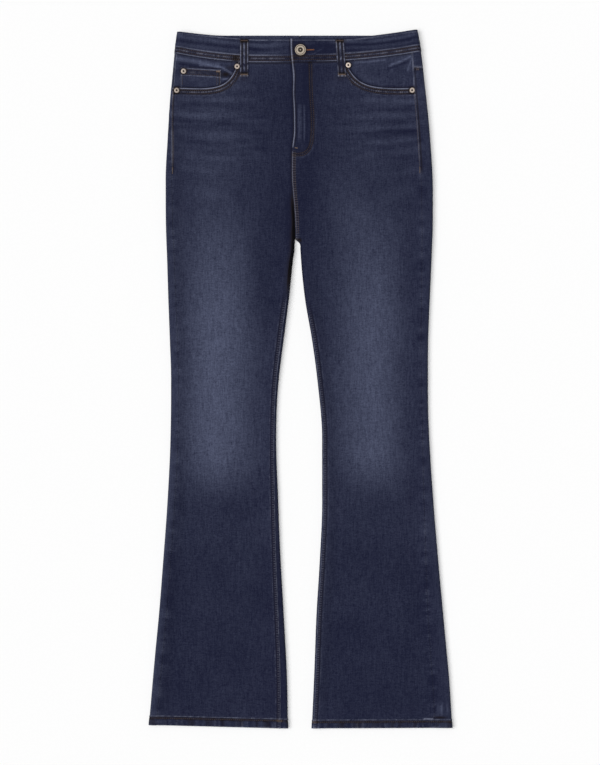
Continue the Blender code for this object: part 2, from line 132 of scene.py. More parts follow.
CENTRE_FRONT = (
    # along, x: the fly's edge, and the centre seam below it
    (219, -8.0),
    (232, -8.3),
    (262, -9.2),
    (290, -11.6),
    (314, -13.5),
    (355, -13.6),
    (368, -12.8),
    (384, -10.7),
    (412, -10.4),
    (430, -10.9),
    (452, -12.1),
    (477, -11.3),
    (496, -13.4),
    (514, -15.3),
    (530, -15.9),
    (551, -15.9),
)
HEIGHTS = (
    # along, rest, top: underside and middle of the top face
    (-550, 0.0, 6.2),
    (-530, 0.0, 6.0),
    (-500, 0.0, 3.8),
    (120, 0.0, 3.8),
    (216, 1.0, 5.4),
    (262, 1.5, 6.3),
    (430, 1.5, 6.5),
    (500, 2.3, 7.2),
    (551, 2.3, 7.2),
)
WAIST = {
    "right": {"seam_side": 512.7, "seam_front": 499.0, "seam_back": 503.0, "flat": 0.36,
              "top_side": 547.0, "top_front": 536.3, "top_back": 541.3},
    "left": {"seam_side": 515.5, "seam_front": 500.4, "seam_back": 503.0, "flat": 0.15,
             "top_side": 550.2, "top_front": 536.3, "top_back": 541.3},
}
HEM_EXTRA = {"right": 1.8, "left": 0.0}
POCKETS = {
    "right": {"start": 99.6, "drop": 43.2, "reach": 13.6},
    "left": {"start": 72.2, "drop": 42.9, "reach": 17.5},
}

# Fly topstitching, from the waist seam round the J to the fly's edge
FLY_STITCH = (
    # x, along
    (17.4, 497.0),
    (18.0, 470.0),
    (18.7, 447.0),
    (20.6, 420.0),
    (21.0, 400.0),
    (20.3, 384.0),
    (18.6, 371.0),
    (15.0, 361.5),
    (7.5, 354.2),
    (-1.0, 351.8),
    (-9.0, 351.4),
)

# Soft bands pressed across the hips, and slack folds down the legs. Their wash is worn pale with
# painted light along the raised bands, and painted shade along the sunken ones.
CREASES = (
    # x0, along0, x1, along1, width, height, wash
    (-204, 441, -24, 446, 4.5, 0.20, 0.07),
    (-200, 430, -60, 432, 3.5, -0.20, -0.05),
    (-204, 419, -52, 417, 5.0, 0.28, 0.09),
    (-202, 405, -70, 399, 4.0, -0.22, -0.05),
    (-203, 394, -84, 384, 5.5, 0.30, 0.07),
    (-200, 376, -96, 366, 4.5, -0.20, -0.04),
    (-203, 360, -80, 346, 6.0, 0.28, 0.06),
    (-198, 334, -104, 318, 7.0, 0.24, 0.05),
    (-190, 306, -98, 280, 9.0, 0.30, 0.04),
    (200, 436, 44, 439, 4.0, 0.20, 0.07),
    (196, 425, 62, 425, 3.5, -0.20, -0.05),
    (203, 417, 40, 410, 4.5, 0.28, 0.08),
    (203, 402, 52, 394, 4.0, 0.24, 0.07),
    (200, 391, 70, 383, 4.0, -0.22, -0.05),
    (203, 381, 60, 370, 5.0, 0.26, 0.06),
    (203, 360, 76, 348, 6.0, 0.24, 0.05),
    (200, 334, 96, 320, 7.0, 0.22, 0.04),
    (192, 300, 108, 282, 9.0, 0.30, 0.03),
    (-150, 60, -112, -40, 26, 0.55, 0.0),
    (-88, 20, -70, -90, 20, -0.40, 0.0),
    (140, 40, 118, -60, 24, 0.50, 0.0),
    (84, 10, 70, -110, 18, -0.40, 0.0),
    (-150, -260, -168, -420, 26, 0.45, 0.0),
    (-92, -300, -84, -470, 22, -0.35, 0.0),
    (140, -240, 168, -430, 28, 0.45, 0.0),
    (88, -280, 80, -460, 20, -0.35, 0.0),
)

# Soft ridges that the closed zip presses up through the fly: worn pale on the raised ones, with
# painted shade along the sunken ones
ZIP_RIDGES = (
    # x, width, height, wash
    (-2.6, 1.6, 0.30, 0.27),
    (0.4, 1.5, 0.24, 0.20),
    (6.1, 1.3, 0.30, 0.30),
    (-6.4, 1.3, -0.20, -0.08),
    (3.2, 1.2, -0.20, -0.09),
    (9.6, 1.8, -0.22, -0.12),
)

# Pale and dark creases that lie along the waistband, drawn in colour alone: the pale ones rubbed
# pale and painted light, the dark ones painted shade
BAND_CREASES = {
    # above the seam, width, wash
    "right": ((27.8, 3.0, 0.15), (21.2, 2.6, -0.12), (16.2, 2.0, 0.07), (32.4, 1.9, -0.10)),
    "left": ((28.2, 2.6, 0.14), (23.6, 2.2, -0.13), (19.2, 1.8, 0.04), (14.0, 2.2, -0.09),
             (32.6, 1.9, -0.09)),
}
# Creases drawn out from the buttonhole: the pale one raised and painted light, the dark one sunken and
# painted shade
BUTTON_CREASES = (
    # path of x, along; wash
    (((12.0, 509.5), (22.0, 513.0), (36.0, 523.0)), 0.15),
    (((10.5, 518.6), (24.0, 519.4), (32.0, 522.0)), -0.2),
)
FACING_FOLDS = {
    # path of x, along; width, height, wash: painted light along the raised folds, painted shade where it is
    # below 0
    "right": (
        (((-196, 505), (-160, 499.5), (-130, 494)), 2.8, 0.5, 0.40),
        (((-159, 495.5), (-140, 493.6), (-124, 490.9), (-115.5, 486), (-107.4, 480.4)), 1.3, 0.5, 0.75),
        (((-190, 497), (-160, 493), (-132, 489.5)), 1.5, -0.4, -0.24),
        (((-124.4, 473), (-113, 473)), 1.1, 0.3, 0.66),
    ),
    "left": (
        (((173, 508), (158, 501), (140, 494)), 1.5, 0.5, 0.50),
        (((175, 506), (172, 496), (169, 486)), 1.3, 0.4, 0.34),
        (((170, 501), (154, 494), (138, 489)), 1.8, -0.3, -0.16),
        (((86, 499.5), (110, 500.5), (132, 503)), 1.4, 0.3, 0.30),
    ),
}


def column(table, index):
    """A smooth curve through one column of a table, as a function of the distance along."""
    xs = np.array([row[0] for row in table], float)
    ys = np.array([row[index] for row in table], float)
    step = np.diff(xs)
    rise = np.diff(ys) / step
    inner = (rise[1:] * step[:-1] + rise[:-1] * step[1:]) / (step[1:] + step[:-1])
    inner = np.where(rise[1:] * rise[:-1] > 0, inner, 0.0)
    slope = np.concatenate(([rise[0]], inner, [rise[-1]]))

    def at(x):
        x = np.asarray(x, float)
        k = np.clip(np.searchsorted(xs, x, "right") - 1, 0, len(step) - 1)
        t = np.clip((x - xs[k]) / step[k], 0.0, 1.0)
        a = (1 + 2 * t) * (1 - t) ** 2 * ys[k] + t * t * (3 - 2 * t) * ys[k + 1]
        b = t * (1 - t) ** 2 * slope[k] - t * t * (1 - t) * slope[k + 1]
        return a + b * step[k]

    return at


def ease(t):
    t = np.clip(t, 0.0, 1.0)
    return t * t * (3 - 2 * t)


rest = column(HEIGHTS, 1)
top_mid = column(HEIGHTS, 2)
centre_x = column(CENTRE_FRONT, 1)


class Half:
    """One leg and its side of the hips, worked out with its outer side towards +X."""

    def __init__(self, side):
        k = 1 if side == "right" else 2
        self.side = side
        self.sign = -1.0 if side == "right" else 1.0
        self.stray = len(side)      # makes each half's uneven marks its own
        self.edge = column(SIDES, k)
        self.inner = column(INNER, k)
        self.out_seam = column(LEG_SEAMS, k)
        self.in_seam = column(LEG_SEAMS, k + 2)
        self.waist = WAIST[side]
        self.pocket = POCKETS[side]

    def fold_in(self, y):
        start = (top_mid(CROTCH) - rest(CROTCH)) / 2
        return start + (4.3 - start) * ease((CROTCH - y) / 90.0)

    def crest(self, y):
        return self.edge(y) - FOLD

    def crest_in(self, y):
        return self.inner(y) + self.fold_in(y)

    def centre_front(self, y):
        return self.sign * centre_x(y)

    def centre_back(self, y):
        return self.sign * (CROTCH_X + (y - CROTCH) / 335.0 * 7.0)

    def top(self, x, y):
        """Height and slope of the top face between its crests."""
        mid = top_mid(y)
        t = np.clip((self.crest(y) - x) / FALL, 0.0, 1.0)
        rise = rest(y) + 2 * FOLD - mid
        z = mid + rise * 0.5 * (1 + np.cos(math.pi * t))
        slope = rise * 0.5 * math.pi * np.sin(math.pi * t) / FALL
        t = np.clip((x - self.crest_in(y)) / FALL_IN, 0.0, 1.0)
        rise = np.where(y < CROTCH, rest(y) + 2 * self.fold_in(y) - mid, 0.0)
        z = z + rise * 0.5 * (1 + np.cos(math.pi * t))
        slope = slope - rise * 0.5 * math.pi * np.sin(math.pi * t) / FALL_IN
        return z, slope

    def ring(self, w, y, depth):
        """Points at w round the ring and y along it, depth inside the cloth's outer face."""
        w, y, depth = np.broadcast_arrays(np.asarray(w, float), y, depth)
        out, r_in, base = self.crest(y), self.fold_in(y), rest(y)
        a = np.where(y < CROTCH, self.crest_in(y), -1e6)
        under = out + math.pi * FOLD
        turn = np.where(y < CROTCH, under + out - self.crest_in(y), 1e6)
        z, slope = self.top(w, y)
        n = 1 / np.sqrt(1 + slope * slope)
        x, nx, nz = w, -slope * n, n

        phi = (w - out) / FOLD
        on = (w > out) & (w <= under)
        x = np.where(on, out + FOLD * np.sin(phi), x)
        z = np.where(on, base + FOLD + FOLD * np.cos(phi), z)
        nx, nz = np.where(on, np.sin(phi), nx), np.where(on, np.cos(phi), nz)

        on = w > under
        x = np.where(on, out - (w - under), x)
        z, nx, nz = np.where(on, base, z), np.where(on, 0.0, nx), np.where(on, -1.0, nz)

        phi = np.where(w < a, (a - w) / r_in, (turn - w) / r_in + math.pi)
        on = ((w < a) | (w > turn)) & (phi >= 0)
        x = np.where(on, a - r_in * np.sin(phi), x)
        z = np.where(on, base + r_in + r_in * np.cos(phi), z)
        nx, nz = np.where(on, -np.sin(phi), nx), np.where(on, np.cos(phi), nz)

        over = (w > turn) & (phi < 0)
        x = np.where(over, a + w - turn - math.pi * r_in, x)
        high, lean = self.top(x, y)
        n = 1 / np.sqrt(1 + lean * lean)
        z = np.where(over, high, z)
        nx, nz = np.where(over, -lean * n, nx), np.where(over, n, nz)
        return np.stack([self.sign * (x - depth * nx), y, z - depth * nz], -1)

    def w_outseam(self, y):
        gap = self.out_seam(y)
        turned = np.arcsin(np.clip(1 - gap / FOLD, 0.0, 1.0)) * FOLD
        return np.where(gap < FOLD, self.crest(y) + turned, self.edge(y) - gap)

    def w_inseam(self, y):
        gap, r = self.in_seam(y), self.fold_in(y)
        turned = np.arcsin(np.clip(1 - gap / r, 0.0, 1.0)) * r
        return np.where(gap < r, self.crest_in(y) - turned, self.inner(y) + gap)

    def w_front_edge(self, y):
        fly = self.centre_front(y)
        return np.where(y >= CROTCH, fly, self.w_inseam(np.minimum(y, CROTCH)))

    def w_under(self, y):
        return self.crest(y) + math.pi * FOLD

    def w_at_x_under(self, x, y):
        return self.w_under(y) + self.crest(y) - x

    def waist_line(self, which, part, f):
        side, mid = self.waist[which + "_side"], self.waist[which + "_" + part]
        flat, power = 0.62, 1.6
        if part == "front":
            flat, power = (self.waist["flat"], 1.7) if which == "seam" else (0.36, 1.25)
        return mid + (side - mid) * np.clip((f - flat) / (1 - flat), 0.0, 1.0) ** power

    def seam_front(self, x):
        return self.waist_line("seam", "front", np.clip(x / self.crest(514.0), 0.0, 1.0))

    def top_front(self, x):
        return self.waist_line("top", "front", np.clip(x / self.crest(530.0), 0.0, 1.0))

    def pocket_line(self, x, lap=0.0):
        p = self.pocket
        run = np.maximum(x - p["start"] + 1.5 + lap, 0.0)
        drop = (p["drop"] + lap) * (1 - np.exp(-run / p["reach"]))
        side = 1.2 * ease((x - 145.0) / 45.0)
        return np.minimum(self.seam_front(x), 500.6 - drop + side)

    def hem_skew(self, y, x, x0, x1):
        low = {"right": 5.2, "left": 0.8}[self.side]
        f = np.clip((x - x0) / (x1 - x0), 0.0, 1.0)
        return y + low * f * ease((-430 - y) / 100.0)


RIGHT, LEFT = Half("right"), Half("left")


# ---------------------------------------------------------------- lines sewn on the cloth

def smooth_path(table, count):
    """Evenly spaced points on a smooth curve through a table of x, along."""
    pts = np.array(table, float)
    run = np.concatenate(([0.0], np.cumsum(np.hypot(*np.diff(pts, axis=0).T))))
    rows = [(r, p[0], p[1]) for r, p in zip(run, pts)]
    at = np.linspace(0.0, run[-1], count)
    return np.stack([column(rows, 1)(at), column(rows, 2)(at)], -1)


def offset(path, d):
    """The path moved d to its left."""
    t = np.gradient(path, axis=0)
    t = t / np.linalg.norm(t, axis=1, keepdims=True)
    return path + d * np.stack([-t[:, 1], t[:, 0]], -1)


def near(x, y, path):
    """Distance to a path, signed + on its left, and how far along the path that is."""
    path = np.array(path, float)
    best, run, side = np.full(x.shape, 1e9), np.zeros(x.shape), np.ones(x.shape)
    start = 0.0
    for a, b in zip(path[:-1], path[1:]):
        d = b - a
        length = math.hypot(d[0], d[1]) + 1e-9
        t = np.clip(((x - a[0]) * d[0] + (y - a[1]) * d[1]) / length ** 2, 0.0, 1.0)
        dx, dy = x - a[0] - t * d[0], y - a[1] - t * d[1]
        gap = np.hypot(dx, dy)
        closer = gap < best
        best = np.where(closer, gap, best)
        run = np.where(closer, start + t * length, run)
        side = np.where(closer, np.sign(d[0] * dy - d[1] * dx), side)
        start += length
    return best, run, side


def ripple(s, size, seed):
    """Smooth uneven waves from -1 to 1, about size long."""
    rng = np.random.RandomState(seed)
    table = rng.uniform(-1, 1, 512)
    t = np.asarray(s, float) / size + 1000.0
    k = np.floor(t).astype(int)
    f = ease(t - k)
    return table[k % 512] * (1 - f) + table[(k + 1) % 512] * f


def uneven(x, y, size, seed, stretch=1.0):
    """Smooth uneven patches from -1 to 1 over the cloth."""
    rng = np.random.RandomState(seed)
    table = rng.uniform(-1, 1, (64, 64))
    u, v = x / size + 200.0, y / (size * stretch) + 200.0
    i, j = np.floor(u).astype(int), np.floor(v).astype(int)
    f, g = ease(u - i), ease(v - j)
    i, j, i2, j2 = i % 64, j % 64, (i + 1) % 64, (j + 1) % 64
    low = table[i, j] * (1 - f) + table[i2, j] * f
    high = table[i, j2] * (1 - f) + table[i2, j2] * f
    return low * (1 - g) + high * g


def line(d, at, width):
    """1 where d is at, falling away softly over width either side of it."""
    return np.exp(-((d - at) / width) ** 2)


def band(d, low, high, soft):
    """1 between two distances, with soft edges."""
    return ease((d - low) / soft + 0.5) * ease((high - d) / soft + 0.5)


def seam_paths(half):
    """World paths of one half's seams, each running up the garment or outwards."""
    s = half.sign
    ys = np.linspace(-HALF_LENGTH, half.waist["seam_side"], 90)
    out = half.ring(half.w_outseam(ys), ys, 0.0)[:, :2]
    ys = np.linspace(-HALF_LENGTH, CROTCH - 1.0, 60)
    inn = half.ring(half.w_inseam(ys), ys, 0.0)[:, :2]
    p = half.pocket["start"]
    xs = p - 1.4 + (half.edge(458.0) - p - half.out_seam(458.0)) * np.linspace(0, 1, 60) ** 2.2
    pocket = np.stack([s * xs, half.pocket_line(xs)], -1)
    xs = np.linspace(half.centre_front(500.0), half.crest(514.0) + 2.0, 40)
    waist = np.stack([s * xs, half.seam_front(xs)], -1)
    xs = np.linspace(half.centre_front(537.0), half.crest(530.0) + 1.0, 40)
    top = np.stack([s * xs, half.top_front(xs)], -1)
    xs = np.linspace(half.inner(-540.0) + 1.0, half.edge(-540.0) - 1.0, 40)
    low = half.hem_skew(-HALF_LENGTH, xs, half.inner(-550.0), half.edge(-550.0))
    hem = np.stack([s * xs, low + HEM_DEPTH + HEM_EXTRA[half.side]], -1)
    return {"out": out, "in": inn, "pocket": pocket, "waist": waist, "top": top, "hem": hem}


SEAMS = {"right": seam_paths(RIGHT), "left": seam_paths(LEFT)}
RIVETS = (
    # name, half, x, along, lift
    ("right_inner", RIGHT, -99.9, 492.5, 0.9),
    ("right_outer", RIGHT, -195.0, 454.6, 0.9),
    ("left_inner", LEFT, 75.3, 494.6, 0.9),
    ("left_outer", LEFT, 175.9, 454.9, 0.9),
    ("coin", RIGHT, -184.2, 484.9, 0.35),
)
_ys = np.linspace(CROTCH, 538.0, 60)
FLY_EDGE = np.stack([centre_x(_ys), _ys], -1)
FLY_J = smooth_path(FLY_STITCH, 60)
FLY_END = 362.0       # the fly is stitched shut below this


def from_seam(half, name, x, y):
    """Distance to one of this half's seams, and how far along it is."""
    return near(x, y, SEAMS[half.side][name])[:2]


def coin_top(x):
    """Top edge of the coin pocket at x, counted outwards."""
    return COIN_TOP + (x - COIN_SIDE) / COIN_WIDTH * COIN_RISE


# ---------------------------------------------------------------- relief and wash of the cloth

class Marks:
    """What a piece of cloth is like at each point. height stands over its plain form; wash is how far
    the indigo has faded, and along creases and folds it also carries painted light and shade; wear is a
    rubbed, pale edge; dark is close stitching, grime and painted shade, and past 1 painted deep shade,
    as in a tuck; run is the distance along the nearest seam, on which fine and coarse roping is drawn."""

    def __init__(self, x):
        self.height, self.wash, self.wear, self.dark = np.zeros((4,) + x.shape)
        self.run, self.fine, self.coarse = np.zeros((3,) + x.shape)
        self.nearest = np.full(x.shape, 1e9)

    def rope(self, d, run, fine, coarse=0.0):
        nearer = d < self.nearest
        self.run = np.where(nearer, run, self.run)
        self.nearest = np.minimum(d, self.nearest)
        self.fine = np.maximum(self.fine, fine)
        self.coarse = np.maximum(self.coarse, coarse)

    def tones(self):
        tone = np.clip(np.stack([self.wash, self.wear, self.dark], -1), 0.0, (1.0, 1.0, 2.0))
        rope = np.stack([self.run / 1000.0, np.clip(self.fine, 0, 1), np.clip(self.coarse, 0, 1)], -1)
        return np.concatenate([tone, rope], -1)


def fade(x, y):
    """Where the jeans are washed pale: down the middle of each thigh and knee, and over the hips."""
    down = ease((y + 208.0) / 100.0)
    right = 0.54 * ease((316.0 - y) / 250.0) * down * line(x, -134.0, np.where(x < -134.0, 50.0, 58.0))
    right = right * (1 - ease((x + 92.0) / 34.0) * ease((y - 60.0) / 130.0))
    left = 0.46 * ease((322.0 - y) / 240.0) * down * line(x, 115.0, np.where(x > 115.0, 45.0, 55.0))
    hip = ease((y - 130.0) / 110.0) * (0.12 * line(x, -136.0, 60.0) + 0.075 * line(x, 106.0, 60.0))
    inside_left = 0.07 * line(x, 72.0, 26.0) * line(y, 268.0, 60.0)
    edge = 0.07 * ease((np.abs(x) - 150.0) / 60.0) * ease((y - 380.0) / 50.0)
    middle = -0.05 * ease((y - 190.0) / 60.0) * line(x, 2.0, 26.0)
    # the flare keeps a little of the fade, mostly along its folds
    calf = 0.045 * line(y, -235.0, 50.0)
    down_flare = -150.0 - y
    folds = line(x, -212.0 - 0.086 * down_flare, 13.0) + line(x, 36.0 - 0.047 * down_flare, 12.0)
    folds = 0.13 * ease((-100.0 - y) / 60.0) * folds
    patch = 0.020 * uneven(x, y, 50.0, 5) + 0.018 * uneven(x, y, 19.0, 6, 1.6)
    # fine near-level streaks pressed in over the hips
    streaked = ease((y - 312.0) / 60.0) * ease((476.0 - y) / 20.0) * ease((np.abs(x) - 34.0) / 40.0)
    streaks = 0.060 * uneven(x + 0.5 * y, y, 44.0, 16, 0.11) + 0.035 * uneven(x - 0.6 * y, y, 20.0, 17, 0.16)
    whole = 0.082 + right + left + hip + inside_left + edge + middle
    return whole + calf + folds + patch + streaked * streaks


def creases(m, x, y):
    for k, (x0, y0, x1, y1, width, high, pale) in enumerate(CREASES):
        steps = np.linspace(0, 1, 9)
        bow = 3.0 * np.sin(math.pi * steps) * (1 if k % 2 else -1) + 1.2 * ripple(steps, 0.25, 90 + k)
        d, run, _ = near(x, y, np.stack([x0 + (x1 - x0) * steps, y0 + (y1 - y0) * steps + bow], -1))
        total = math.hypot(x1 - x0, y1 - y0)
        taper = ease(run / (0.16 * total)) * ease((total - run) / (0.5 * total))
        mark = taper * line(d, 0.0, width) * (1 + 0.45 * ripple(run, 16.0, 40 + k))
        m.height += high * mark
        # worn pale and painted light along the raised bands, painted shade along the sunken ones
        m.wash += 1.6 * pale * mark


def shade_round_rivets(m, x, y):
    """Painted shade close round each rivet, which also dims the rubbed pale there."""
    for _, _, cx, cy, _ in RIVETS:
        away = np.hypot(x - cx, y - cy)
        m.dark += 0.8 * line(away, 4.6, 1.7)
        m.wear *= 1 - 0.8 * line(away, 4.6, 2.0)


def hem_marks(m, half, x, y):
    """Turned hem: a raised band, roped where its two turns were pulled along by the stitching."""
    d, run, side = near(x, y, SEAMS[half.side]["hem"])
    below = -half.sign * side * d
    deep = HEM_DEPTH + HEM_EXTRA[half.side]
    inside = ease((below + 0.6) / 1.2)
    soft = ripple(run, 4.3, 11 + half.stray)
    blotch = np.clip(ripple(run + 1.5 * ripple(below, 5.0, 19), 6.0, 18 + half.stray), -0.4, 1.0)
    m.height += inside * (0.7 + 0.24 * soft * band(below, 3.0, deep, 3.0)) - 0.35 * line(below, 3.4, 0.9)
    m.wear += line(below, 0.4, 0.8) * (0.27 + 0.12 * ripple(run, 3.0, 13))
    m.wear += line(below, deep - 0.6, 0.9) * (0.20 + 0.12 * soft)
    m.dark += band(below, 1.3, 5.8, 1.0) * (0.70 + 0.25 * ripple(run, 4.0, 14))
    m.dark += band(below, 5.0, deep - 1.2, 2.0) * 0.60 * blotch
    m.wash += inside * (0.02 + 0.04 * soft)
    m.wash += band(below, 5.0, deep - 0.6, 2.0) * 0.09 * ripple(run, 2.6, 20)
    m.rope(d, run, 0.0, band(below, 4.6, deep - 0.8, 2.0) * 0.12 * (1 + ripple(run, 14.0, 23)))
    if half.side == "left":
        # rubbed thin at the heel, by the outseam, with a line of painted deep shade just above the hem's
        # fold, which is rubbed pale there
        m.wash += line(x, 222.0, 12.0) * line(y, -520.0, 9.0) * (0.17 + 0.26 * ripple(x, 3.0, 15))
        m.dark += 1.5 * line(x, 220.0, 10.0) * line(y, -532.4, 1.7)
        m.wear += 0.42 * band(x, 194.0, 209.0, 2.0) * line(y, -534.8, 1.0)


def out_marks(m, half, x, y, share):
    """Outseam: pressed open and topstitched at the hip, plain and puckered below."""
    right = half.side == "right"
    d, run = from_seam(half, "out", x, y)
    hip = ease((y - 322.0) / 8.0)
    pucker = ripple(run, 5.2, 31 + half.stray)
    m.height += share * line(d, 0.0, 6.0) * (0.25 + 0.30 * pucker)
    m.wash += share * (0.10 * pucker * line(d, 0.0, 6.5) - 0.03 * line(d, 0.0, 1.6))
    m.wear += share * line(d, 0.9, 0.9) * (0.05 + 0.05 * pucker)
    # the outer fold is paler at its rim, and at the hip its seam is rubbed and shaded inwards of it
    rim = half.edge(y) - half.sign * x
    m.wash += share * (0.05 * line(rim, 0.0, 9.0) + 0.02 * ease((-60.0 - y) / 60.0) * line(rim, 0.0, 16.0))
    if right:
        m.wash += 0.035 * share * line(y, 115.0, 75.0) * line(rim, 0.0, 40.0)
    else:
        m.wash -= 0.025 * share * line(y, 170.0, 45.0) * line(rim, 42.0, 24.0)
    inward = rim - half.out_seam(y)
    m.wear += share * hip * line(inward, 1.2, 1.1) * (0.16 + 0.16 * ease((y - 425.0) / 25.0))
    m.dark += share * hip * line(inward, 2.8 if right else -1.7, 1.1) * 0.85
    if right:
        pair = line(inward, 0.2, 1.0) + line(inward, 3.2, 1.0)
        m.wear += share * band(y, 343.0, 394.0, 16.0) * pair * 0.17
    m.rope(d, run, share * (1 - hip) * line(d, 1.5, 2.2) * 0.10)


def rolled(m, half, x, y, share):
    """The right leg's inner fold stands up below the fork and rolls under, in deep shade."""
    if half.side == "left":
        return
    edge = x + half.inner(np.minimum(y, CROTCH))
    below = share * ease((230.0 - y) / 8.0)
    shade = share * ease((y - 120.0) / 70.0) * ease((246.0 - y) / 20.0)
    m.height += 2.4 * below * ease((y + 60.0) / 150.0) * line(edge, -3.2, 4.2)
    m.dark += shade * (1.9 * band(edge, -4.6, 4.0, 1.6) + 0.5 * line(edge, -5.0, 4.0))


def pocket_edge(m, half, x, y):
    """The edge of the pocket opening, turned under and double stitched."""
    d, run = from_seam(half, "pocket", x, y)
    upper = (y > 400.0).astype(float)
    knots = ripple(run, 2.6, 22 + half.stray)
    bright = 0.52 if half.side == "right" else 0.44
    m.height += upper * (0.45 * band(d, -1.0, 9.0, 2.0) - 0.25 * line(d, 3.4, 0.9) - 0.25 * line(d, 8.0, 0.8))
    m.wear += upper * line(d, 0.8, 1.05) * (bright + 0.14 * ripple(run, 9.0, 21))
    m.wear += upper * (line(d, 6.2, 1.3) * (0.14 + 0.15 * knots) + line(d, 12.0, 1.1) * (0.13 + 0.06 * knots))
    m.dark += upper * (line(d, 3.3, 1.3) * (0.85 + 0.15 * knots) + line(d, 9.0, 1.2) * (0.7 + 0.25 * knots))
    m.dark += upper * band(d, 2.4, 9.4, 1.0) * 0.30
    m.wash -= upper * 0.08 * band(d, 2.0, 9.4, 1.0)
    m.rope(d, run, upper * line(d, 6.2, 1.3) * 0.24)


def inseam_marks(m, half, x, y):
    """Inseam: a felled seam that ropes, then the second row of its stitching."""
    d, run = from_seam(half, "in", x, y)
    leg = ease(((148.0 if half.side == "right" else 130.0) - y) / 40.0)
    m.height += leg * (0.5 * band(d, -1.0, 6.2, 1.6) + 0.25 * ripple(run, 1.9, 33) * line(d, 2.8, 2.4))
    m.wear += leg * line(d, 7.8, 0.9) * (0.14 + 0.08 * ripple(run, 6.0, 34))
    m.wear += leg * line(d, 0.4, 0.8) * (0.24 + 0.1 * ripple(run, 3.0, 35))
    m.dark += leg * (band(d, 1.2, 5.6, 1.0) * 0.26 + 0.25 * line(d, 5.6, 0.9))
    m.wash -= leg * 0.13 * band(d, 0.8, 6.4, 1.2)
    m.rope(d, run, leg * band(d, 1.4, 4.8, 1.0) * 0.36)


def fly_marks(m, half, x, y):
    """The fly laps over from the left: its edge, the zip's ridges, the J of stitching, the centre seam
    below it, and the deep shade where the legs part."""
    d, _, side = near(x, y, FLY_EDGE)
    right_of = -side * d
    below_fly = 1 - ease((y - FLY_END + 6.0) / 8.0)
    # painted shade about the top of the gap where the legs part
    gap = ease((y - 186.0) / 34.0) * (1 - ease((y - 262.0) / 40.0))
    beside = x - centre_x(np.maximum(y, CROTCH)) + 2.6
    m.wash -= 0.10 * gap * line(beside, -2.0, 8.0)
    if half.side == "right":
        # tucked under the fly and a little lower by its edge, with painted shade along the edge and painted
        # deep shade beside the fork
        m.height -= 0.25 * line(d, 0.0, 4.0)
        m.wash -= 0.16 * line(d, 0.0, 3.0)
        m.dark += 0.6 * line(d, 0.0, 1.8) * ease((y - 216.0) / 10.0)
        shade = 1.7 * line(beside, 0.0, 2.3) * ease((y - 214.0) / 6.0) + 0.3 * line(beside, 0.0, 5.0)
        m.dark += gap * shade
        return
    m.height += 0.45 * (1 - below_fly) * band(right_of, -1.0, 26.0, 3.0) * (y > 350.0)
    zip_part = band(y, 376.0, 430.0, 9.0)
    # worn pale along the raised ridges, painted shade along the sunken ones
    for at, wide, high, pale in ZIP_RIDGES:
        ridge = line(x, at + 0.4 * ripple(y, 24.0, 51), wide) * zip_part
        m.height += high * ridge
        m.wash += pale * ridge
    stitched = ease((y - FLY_END) / 6.0)
    m.wear += line(right_of, 0.8, 1.15) * (0.46 + 0.12 * ripple(y, 12.0, 52)) * stitched
    m.dark += 0.5 * line(right_of, 3.2, 1.2) * stitched
    dj, run, side = near(x, y, FLY_J)
    into = side * dj
    # painted shade in the J's stitched grooves and between its rows; a little darker inside the J
    m.height -= 0.30 * line(into, 0.0, 1.0) + 0.30 * line(into, -3.9, 1.0)
    m.dark += 0.5 * line(into, -0.2, 1.3) + 0.55 * line(into, -3.9, 1.4) + 0.2 * band(into, -5.5, 1.0, 1.5)
    m.wash += 0.16 * line(into, 2.2, 1.3) * ease((432.0 - y) / 20.0)
    m.wash -= 0.05 * band(into, -14.0, -4.0, 6.0) * ease((y - 405.0) / 40.0)
    m.wear += 0.18 * line(into, -1.9, 0.9) * ease((408.0 - y) / 20.0) * (0.7 + 0.5 * ripple(run, 4.0, 53))
    # centre seam below the fly, roped under two rows of stitching and flatter by the fork
    fork = ease((268.0 - y) / 40.0)
    m.height += below_fly * 0.5 * band(right_of, -0.5, 7.5, 2.0)
    m.wear += below_fly * line(right_of, 0.7 + 0.7 * fork, 0.9 + 0.8 * fork) * (0.30 - 0.16 * fork)
    sewn = (0.55 - 0.35 * fork) * band(right_of, 1.8, 6.0, 1.2)
    m.dark += below_fly * (0.25 * line(right_of, 0.7, 1.0) + sewn)
    m.wash += below_fly * fork * 0.05 * band(right_of, 0.5, 7.5, 1.5)
    m.rope(d, y, below_fly * band(right_of, 1.2, 6.6, 1.2) * (0.34 - 0.06 * fork))
    # painted deep shade along the short turned edge over the top of the gap
    m.dark += 1.5 * line(y, 219.0, 2.2) * ease((3.0 - x) / 4.0)


def front_marks(half, x, y, z):
    m = Marks(x)
    creases(m, x, y)
    m.wash += fade(x, y)
    m.height += 0.35 * uneven(x, y, 60.0, 7, 2.0)
    pocket_edge(m, half, x, y)
    out_marks(m, half, x, y, 1.0)
    inseam_marks(m, half, x, y)
    rolled(m, half, x, y, 1.0)
    hem_marks(m, half, x, y)
    fly_marks(m, half, x, y)
    # just under the waistband the cloth dips, with painted shadow along it, and painted shadow under the foot
    # of the belt loop
    d, _ = from_seam(half, "waist", x, y)
    m.height -= 0.25 * line(d, 0.0, 1.6)
    m.wash += 0.05 * line(d, 4.5, 2.0)
    m.dark += 0.6 * line(d, 1.2, 1.6)
    m.dark += 0.45 * line(x, 64.0 if half.side == "left" else -88.0, 9.0) * line(y, 474.5, 2.0)
    shade_round_rivets(m, x, y)
    return m


